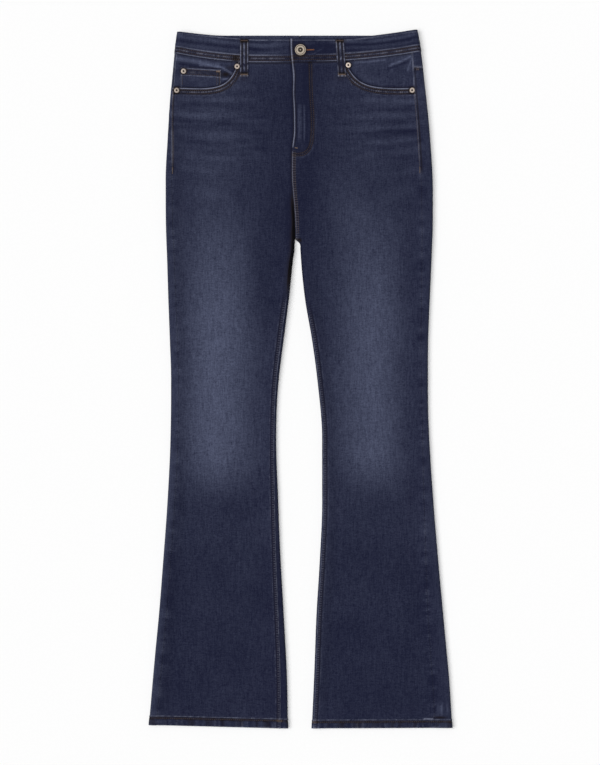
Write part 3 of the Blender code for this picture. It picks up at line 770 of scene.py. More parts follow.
def back_marks(half, x, y, z):
    """The back's own strips, which come round on to the top face, and its plain underside."""
    m = Marks(x)
    upper = ease((z - rest(y) - 2.0) / 3.0)
    under = 1 - upper
    m.height += 0.2 * uneven(x, y, 40.0, 8, 1.5)
    m.wash += upper * (fade(x, y) + 0.01) + under * (0.16 + 0.05 * uneven(x, y, 50.0, 9))
    out_marks(m, half, x, y, upper)
    d, _ = from_seam(half, "in", x, y)
    leg = upper * ease((CROTCH + 2.0 - y) / 6.0)
    m.wash -= leg * 0.05 * line(d, 0.0, 10.0)
    rolled(m, half, x, y, leg)
    hem_marks(m, half, x, y)
    edge = yoke_world(half, x) - y
    m.wear += line(edge, 0.6, 1.0) * 0.36
    m.dark += upper * band(edge, 1.6, 6.4, 1.2) * 0.55
    # the seat seam, and the seat's own wash
    middle = np.abs(x - half.sign * half.centre_back(y))
    above = under * ease((y - CROTCH) / 4.0)
    m.wear += above * line(middle, 0.5, 0.9) * 0.3
    m.dark += above * band(middle, 1.5, 7.0, 1.2) * 0.4
    m.rope(middle, y, above * band(middle, 1.5, 6.0, 1.2) * 0.3)
    m.wash += under * 0.22 * line(np.abs(x), 105.0, 60.0) * line(y, 300.0, 110.0)
    m.height *= upper
    return m


def yoke_world(half, x):
    """Height of the yoke seam across the seat."""
    f = np.clip((half.crest(470.0) - 6.0 - half.sign * x) / (half.crest(470.0) - 6.0), 0.0, 1.0)
    return YOKE_SIDE + (YOKE_MIDDLE - YOKE_SIDE) * ease(f) ** 0.8


def yoke_marks(half, x, y, z):
    m = Marks(x)
    upper = ease((z - rest(y) - 2.0) / 3.0)
    m.wash += upper * (fade(x, y) + 0.01) + (1 - upper) * 0.18
    edge = y - yoke_world(half, x)
    m.wear += line(edge, 0.5, 1.0) * 0.30
    m.dark += (1 - upper) * band(edge, 1.6, 7.6, 1.2) * 0.45
    m.wear += upper * line(from_seam(half, "out", x, y)[0], 0.4, 0.8) * 0.2
    m.height += 0.2 * upper * uneven(x, y, 30.0, 8)
    return m


def band_marks(half, x, y, z):
    """Waistband: a stitched strip along its lower edge, a rubbed top edge and soft creases along it."""
    m = Marks(x)
    upper = ease((z - rest(y) - 2.5) / 3.0)
    d, run = from_seam(half, "waist", x, y)
    top, _ = from_seam(half, "top", x, y)
    fine = 0.4 * ripple(run, 3.0, 61) + 0.6 * ripple(run, 11.0, 62)
    far = ease((run - (10.0 if half.side == "right" else 52.0)) / 24.0)
    m.height += 0.30 * line(d, 14.0, 2.4) - 0.30 * line(d, 3.3, 0.8) - 0.30 * line(d, 8.5, 0.8)
    m.height += 0.10 * fine * band(d, 0.0, 11.5, 2.0)
    m.height += 0.22 * ripple(d + 2.0 * ripple(run, 40.0, 64), 6.0, 63)
    for at, share in ((0.7, 0.20), (11.0, 0.18)):
        m.wear += line(d, at, 1.0) * (share + share * far + 0.12 * fine)
    m.wear += line(d, 6.0, 1.5) * (0.05 + 0.15 * far + 0.16 * ripple(run, 2.7, 65))
    m.wear += line(top, 2.6, 1.0) * (0.34 + 0.16 * fine)
    m.dark += band(d, 1.6, 10.2, 1.0) * (0.34 + 0.14 * ripple(run, 3.4, 67))
    m.dark += (line(d, 3.3, 1.1) + line(d, 8.6, 1.1)) * 0.26
    m.rope(d, run, line(d, 6.0, 1.2) * (0.08 + 0.07 * far))
    m.wash += 0.115 + 0.03 * far + 0.04 * ripple(run, 24.0, 68) - 0.08 * band(d, 1.4, 10.2, 1.0)
    slack = 2.0 * ripple(run, 44.0, 66 + half.stray)
    # creases in colour only: painted light and rubbed pale on the pale ones, painted shade on the dark ones
    for at, wide, pale in BAND_CREASES[half.side]:
        come_and_go = 1 + 0.5 * ripple(run, 30.0, 70 + int(at))
        m.wash += pale * line(d + slack, at, wide) * come_and_go * (0.4 + 0.6 * far)
    end = np.abs(x - centre_x(y))
    if half.side == "left":
        m.wear += line(end, 1.1, 1.2) * 0.62
        m.dark += 0.4 * line(end, 3.6, 1.2)
        m.height += 0.3 * line(end, 1.5, 2.0)
        m.wash -= 0.13 * (1 - far) + 0.03 * far
        # painted shade in a ring round the button, dimming the rubbed pale there, and creases drawn out from
        # the buttonhole
        away = np.hypot(x - BUTTON_AT[0], y - BUTTON_AT[1])
        m.dark += 0.75 * line(away, 9.4, 2.2)
        m.wear *= 1 - 0.8 * line(away, 10.2, 2.0)
        for path, pale in BUTTON_CREASES:
            gap = near(x, y, path)[0]
            m.wash += pale * line(gap, 0.0, 1.6)
            m.height += 1.6 * pale * line(gap, 0.0, 1.8)
    else:
        # painted shade where the left half laps over this end
        m.wash -= 0.14 * line(end, 0.0, 2.5)
        m.dark += 0.6 * line(end, 0.0, 1.8)
        # a darker patch on the band beside the belt loop, over the bulk of the seams, with the rubbed pale
        # dimmed there
        darker_patch = line(x, -102.5, 6.0) * band(d, -1.0, 10.0, 1.5)
        m.dark += 0.8 * darker_patch
        m.wear *= 1 - 0.7 * darker_patch
    # painted shade beside the belt loops
    for loop_x in (-88.8, 63.0):
        m.dark += 0.3 * line(np.abs(x - loop_x), 7.4, 1.2)
    m.height *= upper
    m.wash = m.wash * upper + 0.16 * (1 - upper)
    return m


def facing_marks(half, x, y, z):
    m = Marks(x)
    m.wash += 0.19 if half.side == "left" else 0.17
    m.wash += 0.05 * uneven(x, y, 18.0, 71) + 0.03 * uneven(x, y, 6.0, 72)
    m.height += 0.2 * uneven(x, y, 24.0, 73)
    # painted shade along the pocket's edge, which lies over the facing
    d, _ = from_seam(half, "pocket", x, y)
    m.wash -= 0.22 * line(d, 0.0, 3.0)
    m.dark += 0.7 * line(d, 0.0, 1.5)
    if half.side == "right":
        # shade by the coin pocket: in the corner, under the fold over it, and along its top
        m.dark += 1.2 * line(np.hypot((x + 118.0) / 1.8, y - 480.0), 0.0, 3.8)
        m.dark += 0.6 * line(np.hypot((x + 112.0) / 1.6, y - 491.0), 0.0, 3.4)
        m.dark += 0.5 * line(y, coin_top(-x) + 1.6, 1.4) * band(-x, COIN_SIDE, 176.0, 4.0)
    # the facing's folds: the raised ones painted light, the sunken ones painted shade
    for path, wide, high, pale in FACING_FOLDS[half.side]:
        gap = near(x, y, path)[0]
        m.height += high * line(gap, 0.0, wide * 1.5)
        m.wash += pale * line(gap, 0.0, wide)
    # painted shadow under the waistband
    d, _ = from_seam(half, "waist", x, y)
    m.wash += 0.07 * line(d, 4.5, 2.0)
    m.dark += 0.5 * line(d, 1.0, 1.5)
    m.wear += line(from_seam(half, "out", x, y)[0], 0.9, 0.9) * 0.34
    shade_round_rivets(m, x, y)
    return m


def coin_marks(half, x, y, z):
    """Small pocket: a stitched band along its top, and double stitching down its inner side."""
    m = Marks(x)
    below = coin_top(-x) - y
    inner, outer = -COIN_SIDE - x, np.abs(x + COIN_SIDE + COIN_WIDTH)
    fine = ripple(x + 2.0 * y, 2.8, 82)
    m.wash += 0.18 + 0.05 * uneven(x, y, 14.0, 81) - 0.06 * band(below, 1.5, 10.4, 1.5)
    m.wear += line(below, 0.6, 0.9) * (0.40 + 0.1 * fine)
    m.wear += line(np.minimum(inner, outer), 0.6, 0.9) * (0.30 + 0.1 * fine)
    m.wear += line(below, 11.6, 0.8) * (0.30 + 0.1 * fine) + line(inner, 5.6, 0.8) * 0.28 * (below > 12.0)
    m.wear += 0.16 * line(below, 6.4, 2.2) * (0.5 + 0.8 * ripple(x, 3.2, 83))
    m.dark += band(below, 1.8, 10.4, 1.2) * (0.34 + 0.22 * fine) + band(inner, 1.4, 4.6, 1.0) * 0.5
    m.height += 0.18 * band(below, -1.0, 11.0, 1.5)
    m.height -= 0.12 * line(below, 2.0, 0.7) + 0.12 * line(below, 9.8, 0.7)
    # painted shade along the pocket's edge, which lies over the coin pocket
    d, _ = from_seam(half, "pocket", x, y)
    m.wash -= 0.16 * line(d, 0.0, 2.6)
    m.dark += 0.5 * line(d, 0.0, 1.5)
    shade_round_rivets(m, x, y)
    return m


# ---------------------------------------------------------------- finishes

def linear(hex_colour):
    """sRGB hex to the linear colour that a shader takes."""
    parts = [int(hex_colour[k:k + 2], 16) / 255 for k in (1, 3, 5)]
    return tuple(c / 12.92 if c <= 0.04045 else ((c + 0.055) / 1.055) ** 2.4 for c in parts) + (1.0,)


def add(tree, kind, settings=(), inputs=()):
    """Adds one node. An input is a value, or the socket that feeds it."""
    made = tree.nodes.new("ShaderNode" + kind)
    for name, value in dict(settings).items():
        setattr(made, name, value)
    for name, value in dict(inputs).items():
        if isinstance(value, bpy.types.NodeSocket):
            tree.links.new(value, made.inputs[name])
        else:
            made.inputs[name].default_value = value
    return made


def reckon(tree, known, rows):
    """Works out a table of sums in the material. A row gives the result's name, the operation and its
    values, each a number or a name already known; "clamped" keeps the result from 0 to 1."""
    for name, operation, *values in rows:
        operation, _, clamped = operation.partition(" ")
        inputs = {k: known.get(v, v) for k, v in enumerate(values)}
        made = add(tree, "Math", {"operation": operation, "use_clamp": bool(clamped)}, inputs)
        known[name] = made.outputs[0]


def blank(name):
    mat = bpy.data.materials.new(name)
    mat.use_nodes = True
    tree = mat.node_tree
    return mat, tree, tree.nodes["Principled BSDF"]


def threads(tree, place, wide, long, detail=1.0):
    """Noise drawn out along Y (or X): wide and long are its grain in millimetres."""
    scale = (1000.0 / wide, 1000.0 / long, 1000.0 / 9.0)
    turned = add(tree, "Mapping", {}, {"Vector": place, "Scale": scale}).outputs[0]
    return add(tree, "TexNoise", {}, {"Vector": turned, "Scale": 1.0, "Detail": detail}).outputs["Fac"]


def channels(tree, name):
    colour = add(tree, "Attribute", {"attribute_name": name, "attribute_type": "GEOMETRY"}).outputs["Color"]
    return add(tree, "SeparateColor", {}, {"Color": colour}).outputs


# grime colours stitching, grime and painted shade; tuck is the near black of painted deep shade
def stone_washed_denim(name, deep="#171a30", pale="#585e76", rubbed="#8c91a6", grime_and_shade="#19151a",
                       knot="#8c8284", tuck_shade="#040306"):
    """Indigo stretch denim: blue warp floats over a paler weft, so it shows fine upright slubs and a
    faint crosshatch, washes out to grey-blue, and rubs almost white on its turned edges."""
    mat, tree, shader = blank(name)
    place = add(tree, "TexCoord").outputs["Object"]
    known = dict(zip(("wash", "wear", "dark"), channels(tree, "tone")))
    known.update(zip(("run", "fine", "coarse"), channels(tree, "rope")))
    # The twill itself is 0.5 mm, too fine to show, so the slubs are drawn 1.5 mm wide.
    known["slub"] = threads(tree, place, 1.5, 15.0, 1.0)
    known["weft"] = threads(tree, place, 6.0, 1.6, 2.0)
    known["fleck"] = threads(tree, place, 1.4, 1.6, 1.0)
    known["cloud"] = threads(tree, place, 26.0, 38.0, 2.0)
    turns = 2000.0 * math.pi
    reckon(tree, known, (
        # the weave's light and dark about its middle, which paler cloth shows more
        ("grain", "MULTIPLY_ADD", "slub", 0.26, -0.465),
        ("grain", "MULTIPLY_ADD", "weft", 0.26, "grain"),
        ("grain", "MULTIPLY_ADD", "fleck", 0.36, "grain"),
        ("grain", "MULTIPLY_ADD", "cloud", 0.05, "grain"),
        ("shows", "MULTIPLY_ADD", "wash", 3.0, 0.6),
        ("grain", "MULTIPLY", "grain", "shows"),
        ("level", "ADD clamped", "wash", "grain"),
        # seams rope: pale ticks on a dark ground, 3.7 mm apart, and wide soft ones on the hems, 8.6 mm
        ("stray", "MULTIPLY_ADD", "cloud", 9.0, -4.5),
        ("tick", "MULTIPLY_ADD", "run", turns / 3.7, "stray"),
        ("tick", "SINE", "tick"),
        ("tick", "MULTIPLY_ADD", "tick", 0.5, 0.5),
        ("stray", "MULTIPLY", "stray", 0.5),
        ("swell", "MULTIPLY_ADD", "run", turns / 8.6, "stray"),
        ("swell", "SINE", "swell"),
        ("swell", "MULTIPLY_ADD", "swell", 0.5, 0.5),
        ("swell", "POWER", "swell", 2.0),
        ("roped", "MULTIPLY", "fine", "tick"),
        ("roped", "MULTIPLY_ADD", "coarse", "swell", "roped"),
        # rubbed edges break up into flecks
        ("rubbed", "MULTIPLY_ADD", "roped", 0.55, "wear"),
        ("speckle", "MULTIPLY_ADD", "fleck", 0.5, -0.25),
        ("speckle", "ADD", "speckle", "rubbed"),
        ("solid", "MULTIPLY", "rubbed", 4.0),
        ("solid", "MINIMUM", "solid", 1.0),
        ("speckle", "MULTIPLY clamped", "speckle", "solid"),
        # stitching, grime and painted shade brown the cloth, and past 1 it takes the near black of painted
        # deep shade, as in a tuck
        ("grimed_and_shaded", "MINIMUM", "dark", 1.0),
        ("deep_shaded", "SUBTRACT clamped", "dark", 1.0),
        ("browned", "MINIMUM", "dark", 0.8),
        ("rough", "MULTIPLY_ADD", "slub", 0.12, 0.84),
        ("weave", "MULTIPLY_ADD", "weft", 0.6, "slub"),
    ))
    for result, share, under, over in (
            ("edge", "browned", rubbed, knot),
            ("cloth", "level", deep, pale),
            ("cloth", "grimed_and_shaded", "cloth", grime_and_shade),
            ("cloth", "deep_shaded", "cloth", tuck_shade),
            ("cloth", "speckle", "cloth", "edge")):
        under, over = (known[c] if c in known else linear(c) for c in (under, over))
        mixed = add(tree, "MixRGB", {}, {"Fac": known[share], "Color1": under, "Color2": over})
        known[result] = mixed.outputs[0]
    bump = add(tree, "Bump", {}, {"Height": known["weave"], "Strength": 0.30, "Distance": 0.0004})
    tree.links.new(known["cloth"], shader.inputs["Base Color"])
    tree.links.new(known["rough"], shader.inputs["Roughness"])
    tree.links.new(bump.outputs[0], shader.inputs["Normal"])
    shader.inputs["Specular IOR Level"].default_value = 0.08
    shader.inputs["Sheen Weight"].default_value = 0.03
    return mat


def core_spun_thread(name, colour, faded):
    """Waxed topstitch thread, matt, its colour uneven where the wash has taken it."""
    mat, tree, shader = blank(name)
    place = add(tree, "TexCoord").outputs["Object"]
    patch = threads(tree, place, 3.0, 3.0, 2.0)
    dye = add(tree, "MixRGB", {}, {"Fac": patch, "Color1": linear(colour), "Color2": linear(faded)})
    tree.links.new(dye.outputs[0], shader.inputs["Base Color"])
    twist = threads(tree, place, 0.5, 0.9)
    bump = add(tree, "Bump", {}, {"Height": twist, "Strength": 0.4, "Distance": 0.0002})
    tree.links.new(bump.outputs[0], shader.inputs["Normal"])
    shader.inputs["Roughness"].default_value = 0.8
    shader.inputs["Specular IOR Level"].default_value = 0.2
    return mat


def antiqued_metal(name, bright, dull, rough=0.5):
    """Die-struck brass, plated pale and antiqued: dark stays in the hollows, the high parts are rubbed."""
    mat, tree, shader = blank(name)
    place = add(tree, "TexCoord").outputs["Object"]
    known = {"stain": threads(tree, place, 1.6, 1.6, 3.0)}
    known["hollow"] = add(tree, "NewGeometry").outputs["Pointiness"]
    reckon(tree, known, (
        ("lift", "MULTIPLY_ADD", "hollow", 6.0, -2.9),
        ("shade", "ADD clamped", "stain", "lift"),
        ("rough", "MULTIPLY_ADD", "stain", 0.16, rough),
    ))
    plate = add(tree, "MixRGB", {}, {"Fac": known["shade"], "Color1": linear(dull), "Color2": linear(bright)})
    bump = add(tree, "Bump", {}, {"Height": known["stain"], "Strength": 0.25, "Distance": 0.0002})
    tree.links.new(plate.outputs[0], shader.inputs["Base Color"])
    tree.links.new(known["rough"], shader.inputs["Roughness"])
    tree.links.new(bump.outputs[0], shader.inputs["Normal"])
    shader.inputs["Metallic"].default_value = 0.75
    return mat


DENIM = stone_washed_denim("stone_washed_indigo_denim")
TOBACCO = core_spun_thread("tobacco_topstitch_thread", "#33292a", "#66564f")
TACK = core_spun_thread("worn_brown_bartack_thread", "#4d3c36", "#8a7a70")
RUST = core_spun_thread("rust_buttonhole_thread", "#6b4029", "#9a6c4c")
METAL = antiqued_metal("antiqued_pale_metal", "#a89c93", "#4c423c")
BUTTON_METAL = antiqued_metal("antiqued_button_metal", "#b0a597", "#4a4139", 0.56)
# a paler copy of the rivet metal: painted highlight on the rivets that catch the light
LIT_RIVET_METAL = antiqued_metal("lit_copy_pale_metal", "#c4b7ac", "#5d534b")
ANTIQUED = antiqued_metal("metal_antiqued_dark", "#3f372f", "#120f0e", 0.6)
TAPE = core_spun_thread("woven_zip_tape", "#15171f", "#20222c")


# ---------------------------------------------------------------- making cloth

def build(name, verts, faces, material, tones=None):
    """A mesh object at the origin. verts are in millimetres, tones as Marks gives them."""
    me = bpy.data.meshes.new(name)
    me.from_pydata((np.asarray(verts) * 0.001).tolist(), [], faces)
    if tones is not None:
        for layer, part in (("tone", tones[:, :3]), ("rope", tones[:, 3:])):
            full = np.concatenate([part, np.ones((len(part), 1))], 1).astype(np.float32)
            me.attributes.new(layer, "FLOAT_COLOR", "POINT").data.foreach_set("color", full.ravel())
    me.polygons.foreach_set("use_smooth", np.ones(len(me.polygons), bool))
    me.materials.append(material)
    me.update()
    ob = bpy.data.objects.new(name, me)
    bpy.context.scene.collection.objects.link(ob)
    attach(ob, "root")
    return ob


def slab(name, outer, inner, flip, marks, keep=None):
    """Closed wall between two grids of points. keep says which cells of the grid are cloth."""
    rows, cols = outer.shape[:2]
    if keep is None:
        keep = np.ones((rows - 1, cols - 1), bool)
    half = rows * cols
    i, j = np.nonzero(keep)
    a = i * cols + j
    quads = np.stack([a, a + 1, a + cols + 1, a + cols], -1)
    under = half + quads[:, ::-1]
    edges = {}
    for quad in quads.tolist():
        for k in range(4):
            edge = (quad[k], quad[(k + 1) % 4])
            if (edge[1], edge[0]) in edges:
                del edges[(edge[1], edge[0])]
            else:
                edges[edge] = True
    rim = np.array([(q, p, half + p, half + q) for p, q in edges])
    faces = np.concatenate([quads, under, rim])
    if flip:
        faces = faces[:, ::-1]
    used = np.unique(faces)
    number = np.full(2 * half, -1)
    number[used] = np.arange(len(used))
    verts = np.concatenate([outer.reshape(-1, 3), inner.reshape(-1, 3)])[used]
    flat = marks.tones().reshape(-1, 6)
    inside = np.zeros_like(flat)
    inside[:, 0], inside[:, 1] = 0.22, 0.15 * flat[:, 1]
    ob = build(name, verts, number[faces].tolist(), DENIM, np.concatenate([flat, inside])[used])
    crisp_rim(ob)
    return ob


def crisp_rim(ob):
    """Keeps the cut edges crisp under smooth shading."""
    bpy.ops.object.select_all(action="DESELECT")
    bpy.context.view_layer.objects.active = ob
    ob.select_set(True)
    bpy.ops.object.shade_smooth_by_angle(angle=math.radians(50))
    ob.select_set(False)


def cloth(name, half, w, y, outer, thick, marks, keep=None):
    """A panel on the ring, from outer down through its thickness. marks gives its look at each point."""
    plain = half.ring(w, y, outer)
    look = marks(half, plain[..., 0], plain[..., 1], plain[..., 2])
    a = half.ring(w, y, outer - look.height)
    b = half.ring(w, y, outer + thick)
    piece = slab(name, a, b, half.side == "right", look, keep)
    return piece


# Columns close together beside a seam, and on over the fly
STEPS = np.array([0.0, 0.5, 1.0, 1.6, 2.3, 3.1, 4.0, 5.0, 6.1, 7.3, 8.6, 10.0, 11.6, 13.4])
FLY_STEPS = np.concatenate([STEPS, np.arange(14.8, 33.0, 1.3)])


def between(start, end, middle):
    """Columns of a panel, close together by both seams, and over the fly."""
    mid = np.linspace(start + FLY_STEPS[-1], end - STEPS[-1], middle + 2)[1:-1]
    return np.concatenate([start + FLY_STEPS, mid, end - STEPS[::-1]])


def hem_wall(y):
    return WALL + 1.1 * ease((-HALF_LENGTH + HEM_DEPTH + 1.0 - y) / 1.0)


def level_rows(step):
    """Rows of a leg: close together over the hem, then evenly up to the hips."""
    low = np.linspace(-HALF_LENGTH, -534.0, 14)
    mid = np.arange(-534.0 + step, CROTCH - 0.2, step)
    high = np.arange(CROTCH + step, HIP_ROW, step)
    return np.concatenate([low, mid, [CROTCH - 0.2, CROTCH + 1.0], high, [HIP_ROW]])


def front(half):
    low = level_rows(2.3)
    # the top rows follow the waist and pocket edges: evenly, then at set distances below them
    rise = np.concatenate([np.linspace(0, 1, 12)[1:], np.ones(len(STEPS) - 1)])
    drop = np.concatenate([np.full(11, STEPS[-1]), STEPS[::-1][1:]])
    rows, middle = len(low) + len(rise), 52
    w, y = np.zeros((2, rows, len(FLY_STEPS) + len(STEPS) + middle))
    # the pocket edge, as distances run along it from the corner by the loop
    cut, end = half.pocket["start"] - 1.0, half.w_outseam(457.0) - SEAM_GAP / 2
    curve_x = cut + (end - cut) * np.linspace(0, 1, 200) ** 2
    curve_y = half.pocket_line(curve_x)
    run = np.concatenate(([0.0], np.cumsum(np.hypot(np.diff(curve_x), np.diff(curve_y)))))
    for i in range(rows):
        base = low[min(i, len(low) - 1)]
        first = float(half.w_front_edge(base)) + SEAM_GAP / 2
        last = float(half.w_outseam(base)) - SEAM_GAP / 2
        w[i] = between(first, last, middle)
        y[i] = half.hem_skew(base, w[i], first, last)
        if i >= len(low):
            s = rise[i - len(low)]
            inner = float(half.centre_front(457.0 + 40.0 * s)) + SEAM_GAP / 2
            at = between(0.0, cut - inner + run[-1], middle)
            along = at - (cut - inner)
            top_x = np.where(along < 0, inner + at, np.interp(along, run, curve_x))
            top_y = np.where(along < 0, half.seam_front(top_x), np.interp(along, run, curve_y))
            top_y = top_y - SEAM_GAP / 2 - drop[i - len(low)]
            w[i] = w[i] + (top_x - w[i]) * ease(s * 1.4)
            y[i] = HIP_ROW + (top_y - HIP_ROW) * s
            w[i, 0] = half.centre_front(y[i, 0]) + SEAM_GAP / 2
            w[i, -1] = half.w_outseam(y[i, -1]) - SEAM_GAP / 2
    return cloth("front_panel_" + half.side, half, w, y, 0.0, hem_wall(y), front_marks)


FOLD_COLUMNS, FLAT_COLUMNS, WRAP_COLUMNS = 26, 14, 20


def back_columns(half, y, inner_turn):
    """Columns of a back piece: round the side fold, across the underside and up the inner leg fold."""
    start = half.w_outseam(y) + SEAM_GAP / 2
    under = half.w_under(y)
    if inner_turn:
        turn = under + half.crest(y) - half.crest_in(y)
        r = half.fold_in(y)
        end = turn + math.pi * r + (half.w_inseam(y) - half.crest_in(y)) - SEAM_GAP / 2
    else:
        turn = end = half.w_at_x_under(half.centre_back(y) + SEAM_GAP / 2, y)
    fold = start + (under - start) * np.linspace(0, 1, FOLD_COLUMNS + 1)
    flat = under + (turn - under) * np.linspace(0, 1, FLAT_COLUMNS + 1)[1:]
    wrap = turn + (end - turn) * np.linspace(0, 1, WRAP_COLUMNS + 1)[1:]
    return np.concatenate([fold, flat, wrap])


def yoke_line(half, w, y_side, y_mid):
    under = half.w_under(y_side)
    mid = half.w_at_x_under(half.centre_back(y_mid), y_mid)
    f = np.clip((w - under - 6.0) / (mid - under - 6.0), 0.0, 1.0)
    return y_side + (y_mid - y_side) * ease(f) ** 0.8


def back(half):
    low = level_rows(4.0)
    rise = np.linspace(0, 1, 22)[1:]
    rows, turn = len(low) + len(rise), FOLD_COLUMNS + FLAT_COLUMNS
    w, y = np.zeros((2, rows, turn + WRAP_COLUMNS + 1))
    seam = back_columns(half, 470.0, False)
    edge = yoke_line(half, seam, YOKE_SIDE, YOKE_MIDDLE) - SEAM_GAP / 2
    for i in range(rows):
        base = low[min(i, len(low) - 1)]
        w[i] = back_columns(half, base, base < CROTCH)
        y[i] = base
        if base < -400.0:
            x = half.sign * half.ring(w[i], np.full_like(w[i], base), 0.0)[:, 0]
            y[i] = half.hem_skew(base, x, half.inner(base), half.edge(base))
        if i >= len(low):
            s = rise[i - len(low)]
            y[i] = HIP_ROW + (edge - HIP_ROW) * s
            w[i] = seam * s + w[i] * (1 - s)
            w[i, 0] = half.w_outseam(y[i, 0]) + SEAM_GAP / 2
            last = float(y[i, turn])
            w[i, turn:] = half.w_at_x_under(half.centre_back(last) + SEAM_GAP / 2, last)
    keep = np.ones((rows - 1, w.shape[1] - 1), bool)
    above = np.array([low[min(i + 1, len(low) - 1)] > CROTCH for i in range(rows - 1)])
    keep[above, turn:] = False
    return cloth("back_panel_" + half.side, half, w, y, 0.0, hem_wall(y), back_marks, keep)


def yoke(half):
    across = FOLD_COLUMNS + FLAT_COLUMNS + 1
    start = back_columns(half, 470.0, False)[:across]
    low = yoke_line(half, start, YOKE_SIDE, YOKE_MIDDLE) + SEAM_GAP / 2
    high = band_line(half, "seam", start, 490.0) - SEAM_GAP / 2
    rows = 16
    w, y = np.zeros((2, rows, across))
    for i in range(rows):
        s = i / (rows - 1)
        y[i] = low + (high - low) * s
        w[i] = start * (1 - s) + back_columns(half, float(y[i, 0]), False)[:across] * s
        w[i, 0] = half.w_outseam(y[i, 0]) + SEAM_GAP / 2
        w[i, -1] = half.w_at_x_under(half.centre_back(y[i, -1]) + SEAM_GAP / 2, y[i, -1])
    return cloth("yoke_panel_" + half.side, half, w, y, 0.0, WALL, yoke_marks)


def band_line(half, which, w, y):
    """Height of the waist seam or the top edge at w, all round the ring."""
    crest, under = half.crest(y), half.w_under(y)
    top = half.waist_line(which, "front", np.clip(w / crest, 0.0, 1.0))
    low = half.waist_line(which, "back", np.clip((crest - (w - under)) / crest, 0.0, 1.0))
    return np.where(w < crest, top, np.where(w > under, low, half.waist[which + "_side"]))


def band_columns(half, y):
    first = half.centre_front(y) + SEAM_GAP / 2
    out, under = half.crest(y), half.w_under(y)
    last = half.w_at_x_under(half.centre_back(y) + SEAM_GAP / 2, y)
    across = first + (out - first) * np.concatenate([[0, 0.004, 0.009, 0.016], np.linspace(0.026, 1, 74)])
    fold = out + (under - out) * np.linspace(0, 1, 13)[1:]
    back_part = under + (last - under) * np.linspace(0, 1, 37)[1:]
    return np.concatenate([across, fold, back_part])


def waistband(half):
    share = np.concatenate([np.linspace(0, 0.30, 13), np.linspace(0.34, 0.94, 14), [0.955, 0.97, 0.985, 1.0]])
    middle = band_columns(half, 530.0)
    low = band_line(half, "seam", middle, 530.0) + SEAM_GAP / 2
    high = band_line(half, "top", middle, 530.0)
    w, y = np.zeros((2, len(share), len(middle)))
    for i, s in enumerate(share):
        y[i] = low + (high - low) * s
        w[i] = band_columns(half, 505.0) * (1 - s) + band_columns(half, 545.0) * s
        w[i, 0] = half.centre_front(y[i, 0]) + SEAM_GAP / 2
    return cloth("waistband_" + half.side + "_half", half, w, y, -BAND_PROUD, BAND_WALL, band_marks)


def facing(half):
    start, end = half.pocket["start"] - 8.0, half.w_outseam(458.0) - SEAM_GAP / 2
    rows, cols = 26, 60
    at = start + (end - start) * np.linspace(0, 1, cols)
    low = np.minimum(half.pocket_line(at, FACING_LAP), half.seam_front(at) - 3.0)
    high = half.seam_front(at) - SEAM_GAP
    w, y = np.zeros((2, rows, cols))
    for i in range(rows):
        y[i] = low + (high - low) * i / (rows - 1)
        w[i] = at
        w[i, -1] = half.w_outseam(y[i, -1]) - SEAM_GAP / 2 - (0.8 if y[i, -1] < 458.0 else 0.0)
    return cloth("pocket_facing_" + half.side, half, w, y, WALL + UNDER, 1.0, facing_marks)


def coin_pocket(half):
    rows, cols = 24, 40
    at = COIN_SIDE + COIN_WIDTH * np.linspace(0, 1, cols)
    low, top = half.pocket_line(at) + 1.3, coin_top(at)
    w, y = np.zeros((2, rows, cols))
    for i in range(rows):
        w[i] = at
        y[i] = low + (top - low) * i / (rows - 1)
    return cloth("coin_pocket_piece", half, w, y, COIN_DEPTH, 1.0, coin_marks)


LOOPS = {
    # x at the top, x at the foot, along at the top, along at the foot
    "right": (88.8, 88.8, 536.4, 476.6),
    "left": (61.3, 65.4, 536.4, 476.6),
}


def loop_place(half, u, v):
    """w, along and depth of a front loop's face at u across it and v up it, both from 0 to 1."""
    x_top, x_low, y_top, y_low = LOOPS[half.side]
    y = y_low + (y_top - y_low) * v
    w = x_low + (x_top - x_low) * v + LOOP_WIDTH * (u - 0.5)
    depth = -(UNDER + LOOP_WALL) - BAND_PROUD * ease((y - 488.0) / 9.0)
    return w, y, depth


def front_loop(half):
    u, v = np.meshgrid(np.linspace(0, 1, 15), np.linspace(0, 1, 52))
    w, y, depth = loop_place(half, u, v)
    long = LOOPS[half.side][2] - LOOPS[half.side][3]
    across, up = np.abs(u - 0.5) * LOOP_WIDTH, v * long
    ends = np.minimum(up, long - up)
    rough = 0.7 * ripple(up + 4.0 * ripple(u * 9.0, 3.0, 93), 3.4, 91 + half.stray)
    rough = rough + 0.4 * ripple(up + 3.0 * u, 9.0, 92)
    m = Marks(u)
    m.height += 0.25 * line(across, 5.0, 1.2) - 0.25 * line(across, 3.2, 0.7)
    m.height += 0.25 * band(ends, -1.0, 5.5, 1.5)
    m.height += 0.14 * rough - 0.35 * ease((across - 6.0) / 0.6)
    m.wash += 0.13 + 0.10 * rough
    m.wear += line(across, 5.5, 0.9) * (0.30 + 0.40 * rough) + line(up, 0.9, 0.9) * 0.34
    m.wear += line(across, 0.0, 1.5) * 0.17 * (1 + 2.2 * rough)
    m.wear *= 1 - 0.7 * ease((up - 54.0) / 2.0)
    m.dark += band(across, 1.7, 4.6, 1.4) * (0.62 + 0.55 * rough) + band(ends, 1.6, 6.6, 1.0) * 0.95
    m.dark += 0.25 * ease(0.5 - 1.4 * rough)
    a = half.ring(w, y, depth - m.height)
    b = half.ring(w, y, depth + LOOP_WALL)
    piece = slab("belt_loop_front_" + half.side, a, b, half.side == "right", m)
    return piece


def flat_piece(name, x, y, marks, high):
    """A flat piece on the underside: a grid of x and along, its face down on the surface."""
    low = np.stack([x, y, np.zeros_like(x)], -1)
    top = np.stack([x, y, np.full_like(x, high)], -1)
    piece = slab(name, low, top, True, marks)
    return piece


